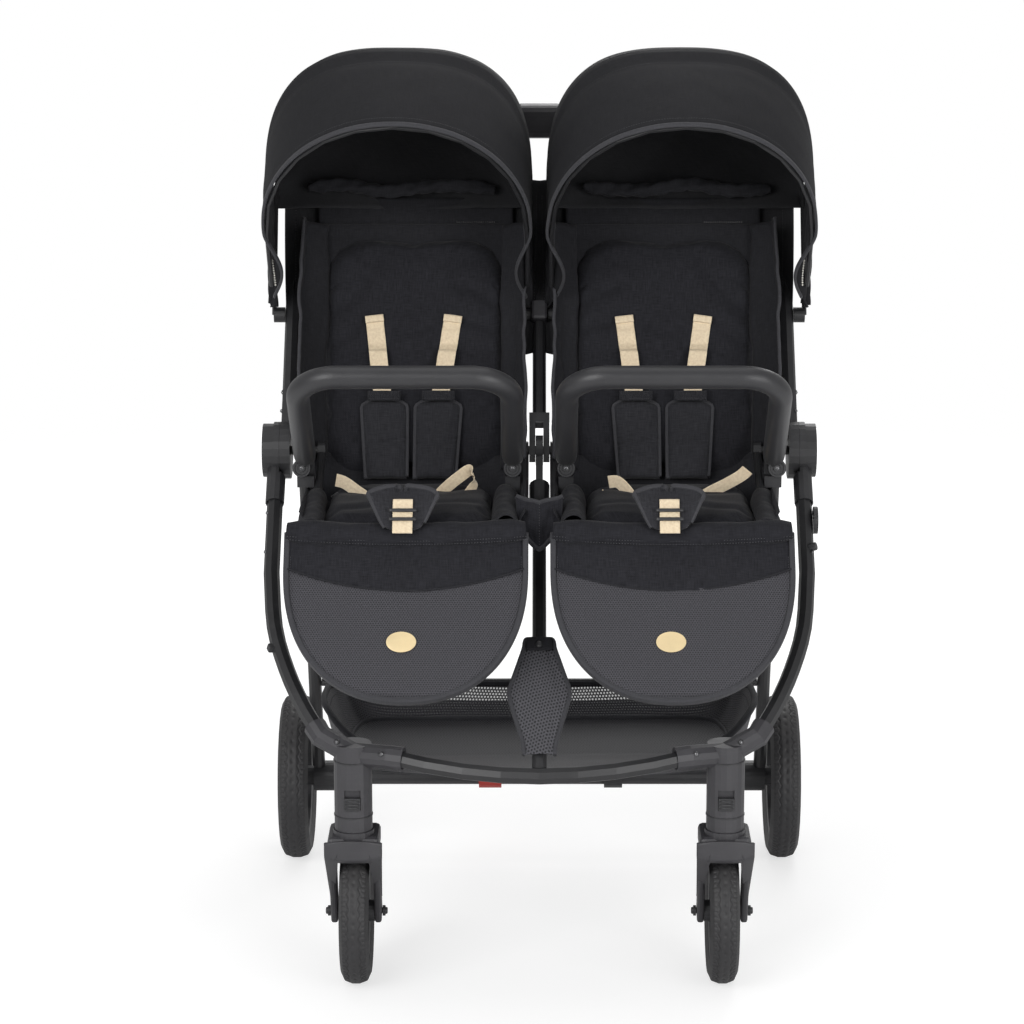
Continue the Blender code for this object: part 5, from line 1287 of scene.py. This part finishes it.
def bar_path():
    """Up one leg, round a corner, across, round the other and down again, as x from the middle."""
    half = (BAR_OUTER - BAR_INNER) / 2
    t = np.linspace(0, pi / 2, 22)
    leg = np.linspace(0.016, BAR_REACH - BAR_CORNER, 26)[:-1]
    x = np.concatenate([np.full(len(leg), -half), -half + BAR_CORNER * (1 - np.cos(t))])
    a = np.concatenate([leg, BAR_REACH - BAR_CORNER * (1 - np.sin(t))])
    cross = np.linspace(-half + BAR_CORNER, half - BAR_CORNER, 24)[1:-1]
    along_bar = np.concatenate([a, np.full(len(cross), BAR_REACH), a[::-1]])
    return np.concatenate([x, cross, -x[::-1]]), along_bar


for side_name, side in SIDES:
    body = "gate_" + side_name
    x, a = bar_path()
    middle = side * (BAR_INNER + BAR_OUTER) / 2
    path = BAR.at(middle + x, a, 0.0)
    ends = np.minimum(np.arange(len(a)), np.arange(len(a))[::-1])
    swell = 0.90 + 0.10 * np.clip(ends / 3.0, 0, 1) ** 0.5
    foam = swept("bar_foam_" + side_name, path, rounded(2 * FOAM_R, 2 * FOAM_R, 2.0, 30), BAR.face, FOAM,
                 body, scale=swell)
    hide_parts("belly_bar_" + side_name)
    for edge, foot_x in (("inner", side * BAR_INNER), ("outer", side * BAR_OUTER)):
        centre = (foot_x + side * 0.004 * (edge == "outer"), -0.0520, 0.6280)
        facing = np.array([0.0, -0.96, 0.10])
        turned(f"bar_disc_{edge}_{side_name}", BAR_DISC, centre, facing, PLASTIC, body,
               steps=36, crisp=35)
        turned(f"bar_screw_{edge}_{side_name}", BAR_SCREW, centre, facing, STEEL, body,
               steps=20, crisp=35)

# %% [markdown]
# Between the seats a V-shaped yoke of cloth, with bound edges, closes the gap round the centre tube.

# %% Yoke between the seats
u, v = two_ways((-1, 1, 61), (0, 1, 31))
depth = 0.052 * v * (1 - 0.30 * np.abs(u) ** 1.5)
x = u * (0.0300 - 0.0010 * v)
y = -0.170 - 0.020 * v + 0.012 * np.abs(u) + 0.0012 * ripple(5 * u, 5 * v, 99)
z = 0.604 + 0.014 * np.abs(u) ** 1.2 - depth + 0.004 * (1 - v) * np.cos(3 * u)
grid = np.stack([x, y, z], -1)
yoke = surface("seat_yoke", grid, SEAT_CLOTH, "seat_base", uv=np.stack([x, depth], -1))
walled(yoke, 0.0024)
for k, rim in enumerate((grid[0], grid[-1])):
    ribbon(f"yoke_binding_{k + 1}", rim, 0.0060, (0, -0.3, 1), BINDING, "seat_base", 0.0042)
stitched("yoke_seam", [grid[:, 30] + np.array([0.0, -0.0016, 0.0])], THREAD, "seat_base",
         pitch=SEAM_PITCH)

# %% [markdown]
# ## Basket
# The basket is one soft tub of ribbed mesh hung between the front tube, the rear legs and the rear bar.
# Its rim is a closed curve, and each ring below it is the same curve drawn in and down, so that the wall
# rolls over into the floor. The floor sags a little. The top of the rear wall is a see-through strip.

# %% Basket tub
BASKET_Y = 0.08
RIM_HALF = np.array([(0.0, -0.3692, 0.303), (0.130, -0.3492, 0.305), (0.228, -0.268, 0.318),
                     (0.276, -0.170, 0.335), (0.286, 0.0, 0.310), (0.282, 0.110, 0.285),
                     (0.250, 0.1615, 0.272), (0.125, 0.1635, 0.270), (0.0, 0.1635, 0.270)])
rim = np.concatenate([RIM_HALF, RIM_HALF[-2:0:-1] * (-1, 1, 1)])
loop = eased(np.concatenate([rim[-3:], rim, rim[:4]]), 22 * 30 + 1)
first = np.argmin(np.linalg.norm(loop[:200] - rim[0], axis=1))
last = first + 200 + np.argmin(np.linalg.norm(loop[first + 200:] - rim[0], axis=1))
loop = loop[first:last]
STEPS_DOWN = [0, 0.10, 0.20, 0.30, 1.0]
v = np.linspace(0, 1, 60)
share = smoothed(np.interp(v, STEPS_DOWN, [1.0, 0.957, 0.905, 0.845, 0.0]), 5)
high = smoothed(np.interp(v, STEPS_DOWN, [1.0, 0.46, 0.07, 0.0, 0.0]), 5)
share[0], high[0], share[-1] = 1.0, 1.0, 0.002
x = share[:, None] * loop[None, :, 0]
y = -BASKET_Y + share[:, None] * (loop[None, :, 1] + BASKET_Y)
floor_z = 0.222 + 0.081 * (np.clip(-0.02 - y, 0, None) / 0.35) ** 1.25
sag = 0.0030 * ripple(5 * x, 4 * y, 120) * np.clip((1 - share) * 5, 0, 1)[:, None]
z = (floor_z + (loop[None, :, 2] - floor_z) * high[:, None] + sag
     + 0.002 * np.clip((1 - share) * 5, 0, 1)[:, None])
grid = np.stack([x, y, z], -1)
steps = np.linalg.norm(np.diff(grid[::-1], axis=0), axis=-1)
reach = np.concatenate([np.zeros((1, x.shape[1])), np.cumsum(steps, 0)])[::-1]
way = np.arctan2(y + BASKET_Y, x)
uv = np.stack([reach * np.cos(way), reach * np.sin(way)], -1)
uv = np.concatenate([uv, uv[:, :1]], 1)
tub = surface("basket_cloth", grid, BASKET_MESH, "front_frame", uv=uv, wrap=(False, True))
tub.data.materials.append(SHEER_MESH)
middles = read_from(tub.data.polygons, "center")
thin = (middles[:, 1] > 0.150) & (middles[:, 2] > 0.250) & (np.abs(middles[:, 0]) < 0.24)
tub.data.polygons.foreach_set("material_index", thin.astype(np.int32))
walled(tub, SHEET_THICK)
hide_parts("basket")
swept("basket_rim", grid[0], rounded(0.0085, 0.0085, 2.2, 14), (0, 0, 1), WING_CLOTH, "front_frame",
      closed=True)
seam_ring = grid[13] + (0, 0, 0.0016)
swept("basket_floor_seam", seam_ring, rounded(0.0075, 0.0034, 3.0, 12), (0, 0, 1), BINDING, "front_frame",
      closed=True)
stitched("basket_stitching", [grid[2] * (0.994, 0.994, 1.0)], THREAD, "front_frame",
         pitch=WIDE_PITCH)

# %% [markdown]
# ## Centre panel
# A long diamond of coarser mesh hangs on the centre leg, bound with tape and closed at the top by a snap.
# It is a flat sheet whose half-width grows to the middle and falls again, with softened corners.

# %% Centre panel
PANEL = Plane(-0.3679, 0.3334, 38.28)
u, v = two_ways((-1, 1, 41), (0, 1, 91))
half = np.interp(v, [0, 0.10, 0.50, 0.56, 0.93, 1.0], [0.0190, 0.0205, 0.0385, 0.0385, 0.0195, 0.0185])
half = np.apply_along_axis(smoothed, 0, half, 7)
x, a = u * half, 0.001 + 0.176 * v
h = 0.0012 - 0.0035 * u ** 2 + 0.0010 * ripple(6 * u, 7 * v, 131)
grid = PANEL.at(x, a, h)
panel = surface("centre_panel_cloth", grid, DIAMOND_MESH, "front_frame",
                uv=np.stack([x, a], -1))
walled(panel, SHEET_THICK)
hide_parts("basket_centre_panel")
edge = np.concatenate([grid[:, 0], grid[-1, 1:], grid[-2::-1, -1]])
ribbon("centre_panel_binding", eased(edge[::4], 150), 0.0062, PANEL.face, BINDING, "front_frame", 0.0050)
flap = PANEL.at(np.zeros(14), np.linspace(0.158, 0.1775, 14), 0.0040)
ribbon("centre_panel_flap", flap, 0.0330, (1, 0, 0), WING_CLOTH, "front_frame", 0.0024)
snap = [(0.0, 0.0), (0.0, 0.0050), (0.0016, 0.0048), (0.0024, 0.0036), (0.0014, 0.0028), (0.0010, 0.0)]
turned("centre_panel_snap", snap, PANEL.at(np.zeros(1), np.full(1, 0.1660), 0.0052)[0], PANEL.face, PLASTIC,
       "front_frame", steps=24)

# %% [markdown]
# ## Tread
# The tyres have a fine tread: a row of dimples round the middle and zig-zag grooves beside it. A thin
# band is laid on each tyre, with its radius read from the tyre's own outline so that it fits.

# %% Tread on the tyres
TREAD_DEEP = 0.0013


def tread(name, node_name, body, half, count):
    """Band round a tyre whose height is a pattern of dimples and zig-zag grooves."""
    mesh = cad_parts[node_name].data
    points = read_from(mesh.vertices, "co").astype(float)
    low, high = points.min(0), points.max(0)
    centre = (low + high) / 2
    across = np.abs(points[:, 0] - centre[0])
    out = np.hypot(points[:, 1] - centre[1], points[:, 2] - centre[2])
    spots = np.unique(np.round(across, 4))
    radii = np.array([out[np.abs(across - spot) < 0.0002].max() for spot in spots])
    t, w = np.meshgrid(np.linspace(0, 2 * pi, count * 12, endpoint=False), np.linspace(-half, half, 45),
                       indexing="xy")
    base = np.interp(np.abs(w), spots, radii)
    turn = t * count / (2 * pi)
    saw = 2 * np.abs(turn % 1.0 - 0.5)
    dimple = np.exp(-((w / (0.13 * half)) ** 2 + ((saw - 1.0) * 2.2) ** 2) * 1.2)
    zig = np.exp(-((np.abs(w) - half * (0.42 + 0.20 * saw)) / (0.055 * half)) ** 2)
    side = np.exp(-((saw - 0.5) / 0.13) ** 2) * (np.abs(w) > 0.66 * half)
    edge = np.clip((half - np.abs(w)) / (0.10 * half), 0, 1)
    rise = edge * TREAD_DEEP * (1 - np.clip(dimple + zig + 0.8 * side, 0, 1))
    radius = base + rise - 0.0002
    grid = np.stack([centre[0] + w, centre[1] + radius * np.cos(t), centre[2] + radius * np.sin(t)], -1)
    return surface(name, grid, TYRE, body, wrap=(False, True))


for side_name, side in SIDES:
    tread("front_tread_" + side_name, "front_tyre_" + side_name, "front_wheel_" + side_name, 0.0155, 44)
    tread("rear_tread_" + side_name, "rear_tyre_" + side_name, "rear_wheel_" + side_name, 0.0170, 52)

# %% [markdown]
# ## Screws, rivets and catches
# Each is a small turned piece. Its place in the picture gives a line of sight, and where that line
# first meets the model is where the piece sits, square to the surface there.

# %% Small hardware
PICTURE_AXIS = 538.0
MIRRORED = 1077.5
CASTER_X, AXLE_Y, AXLE_Z = 0.235, -0.265, 0.0915
SWIVEL_Y = -0.310


def met(px, py):
    """Point and facing where the line of sight through a picture place meets the model."""
    start = Vector(bpy.context.scene.camera.location)
    graph = bpy.context.evaluated_depsgraph_get()
    for inward in range(0, 16, 2):
        aim = Vector(sight(px + inward * np.sign(PICTURE_AXIS - px), py, -0.40)) - start
        found, place, facing, _, thing, _ = bpy.context.scene.ray_cast(graph, start, aim.normalized())
        if found and thing != floor:
            return np.array(place), np.array(facing), True
    return None, None, False


# Outlines as (distance out of the surface, radius), and the picture places of the small turned pieces.
DOME = [(-0.004, 0.0), (-0.004, 1.0), (0.0005, 1.0), (0.0018, 0.80), (0.0024, 0.45), (0.0016, 0.38),
        (0.0015, 0.0)]
BLOCK = [(-0.004, 0.0), (-0.004, 1.0), (0.0050, 1.0), (0.0062, 0.86), (0.0062, 0.0)]
BOLT = [(-0.003, 0.0), (-0.003, 0.0068), (0.0004, 0.0068), (0.0007, 0.0046), (0.0028, 0.0042),
        (0.0033, 0.0032), (0.0016, 0.0024), (0.0016, 0.0)]
RING = [(-0.0011, 0.0235), (-0.0008, 0.0247), (0.0008, 0.0247), (0.0011, 0.0235)]
RIVETS = (("sleeve_rivet", 272, 411, 0.0026, "upper_frame"),
          ("socket_rivet", 265.5, 513, 0.0026, "front_frame"),
          ("tube_rivet", 265.5, 552, 0.0024, "front_frame"),
          ("saddle_screw_outer", 337, 742, 0.0034, "front_frame"),
          ("saddle_screw_inner", 381, 754, 0.0034, "front_frame"))
CATCHES = (("frame_catch", 270.5, 648, 0.0060, 4), ("latch_knob", 812, 547, 0.0055, 20))
bpy.context.view_layer.update()
spots = []
for side_name, side in SIDES:
    for label, px, py, radius, body in RIVETS:
        place, facing, found = met(px if side < 0 else MIRRORED - px, py)
        if found:
            spots.append(turned(f"{label}_{side_name}", [(s, r * radius) for s, r in DOME], place,
                                facing, STEEL, body, steps=20))
for label, px, py, radius, sides in CATCHES:
    place, facing, found = met(px, py)
    if found:
        spots.append(turned(label, [(s, r * radius) for s, r in BLOCK], place, facing, PLASTIC,
                            "front_frame", steps=sides))
print("small pieces placed by sight:", len(spots))

# %% [markdown]
# The casters get their small mouldings: a bolt head on each end of the axle, a sloped plate over the
# fork, three ribs on the slider that locks the swivel, and a raised ring at each end of the housing.

# %% Casters
for side_name, side in SIDES:
    caster_x = side * CASTER_X
    for edge, out in (("outer", 1), ("inner", -1)):
        bolt_at = (caster_x + side * out * 0.0365, AXLE_Y, AXLE_Z)
        turned(f"axle_bolt_{edge}_{side_name}", BOLT, bolt_at, (side * out, 0, 0), PLASTIC,
               "caster_" + side_name, steps=28)
    u, v = two_ways((-1, 1, 61), (0, 1, 25))
    foot = 0.181 - 0.066 * np.clip((np.abs(u) - 0.56) / 0.26, 0, 1) ** 0.8
    peak = 0.2060 + 0.0045 * (1 - u ** 2)
    x = caster_x + u * (0.0360 - 0.0030 * np.clip((0.19 - (foot + (peak - foot) * v)) / 0.07, 0, 1))
    level = foot + (peak - foot) * v
    y = -0.3400 + 0.0080 * np.abs(u) ** 2.5 + 0.85 * np.clip(0.186 - level, 0, 1)
    cover = surface("fork_cover_" + side_name, np.stack([x, y, level], -1), SOFT_PLASTIC,
                    "caster_" + side_name, crisp=40)
    walled(cover, 0.0030)
    for k in range(3):
        level = 0.2525 + 0.0045 * k
        line = np.array([(caster_x - 0.0085, -0.3362, level), (caster_x, -0.3370, level),
                         (caster_x + 0.0085, -0.3362, level)])
        swept(f"slider_rib_{k + 1}_{side_name}", line, rounded(0.0030, 0.0024, 2.0, 10), (0, 0, 1), PLASTIC,
              "lock_slider_" + side_name)
    for k, level in enumerate((0.2375, 0.3090)):
        turned(f"housing_ring_{k + 1}_{side_name}", RING, (caster_x, SWIVEL_Y, level), (0, 0, 1), PLASTIC,
               "front_frame", steps=48)

# %% [markdown]
# ## Cloth that closes the gaps
# Under each seat a shallow tray of cloth joins cushion, sides and backrest, and beside each backrest a
# plain vent panel reaches out to the hood. Both are simple sheets, bent where the seams pull them.

# %% Seat trays and hood vents
for side_name, side in SIDES:
    u, v = two_ways((-1, 1, 61), (0, 1, 51))
    x = side * (0.1625 + 0.1440 * u)
    y = -0.184 + 0.246 * v
    z = 0.564 + 0.036 * np.abs(u) ** 8 + 0.050 * np.clip((v - 0.74) / 0.26, 0, 1) ** 1.6
    z = z + 0.0015 * ripple(5 * u, 5 * v, 140)
    grid = np.stack([x, y, z], -1)
    tray = surface("seat_tray_" + side_name, grid, WING_CLOTH, "seat_base",
                   uv=np.stack([x, y], -1))
    walled(tray, SHEET_THICK)
    for edge, out in (("outer", side), ("inner", -side)):
        v, w = two_ways((0, 1, 51), (0, 1, 21), "ij")
        a = 0.185 + 0.255 * v
        reach = 0.1290 + w * (0.0520 - 0.010 * (1 - v) ** 2)
        x = side * SEAT_X + out * reach
        h = -0.004 - 0.010 * w ** 1.3 + 0.0035 * np.sin(pi * w) * ripple(3 * v, 4 * w, 150)
        h = h + 0.030 * w * (1 - v) ** 2
        grid = BACK.at(x, a, h)
        vent = surface(f"hood_vent_{edge}_{side_name}", grid, LINING, "upper_frame",
                       uv=np.stack([reach, a], -1))
        walled(vent, LINING_THICK)
        dots = BACK.at(x[8:-4, 14], a[8:-4, 14], h[8:-4, 14] + 0.0016)
        stitched(f"vent_stitching_{edge}_{side_name}", [dots], THREAD, "upper_frame",
                 pitch=WIDE_PITCH)
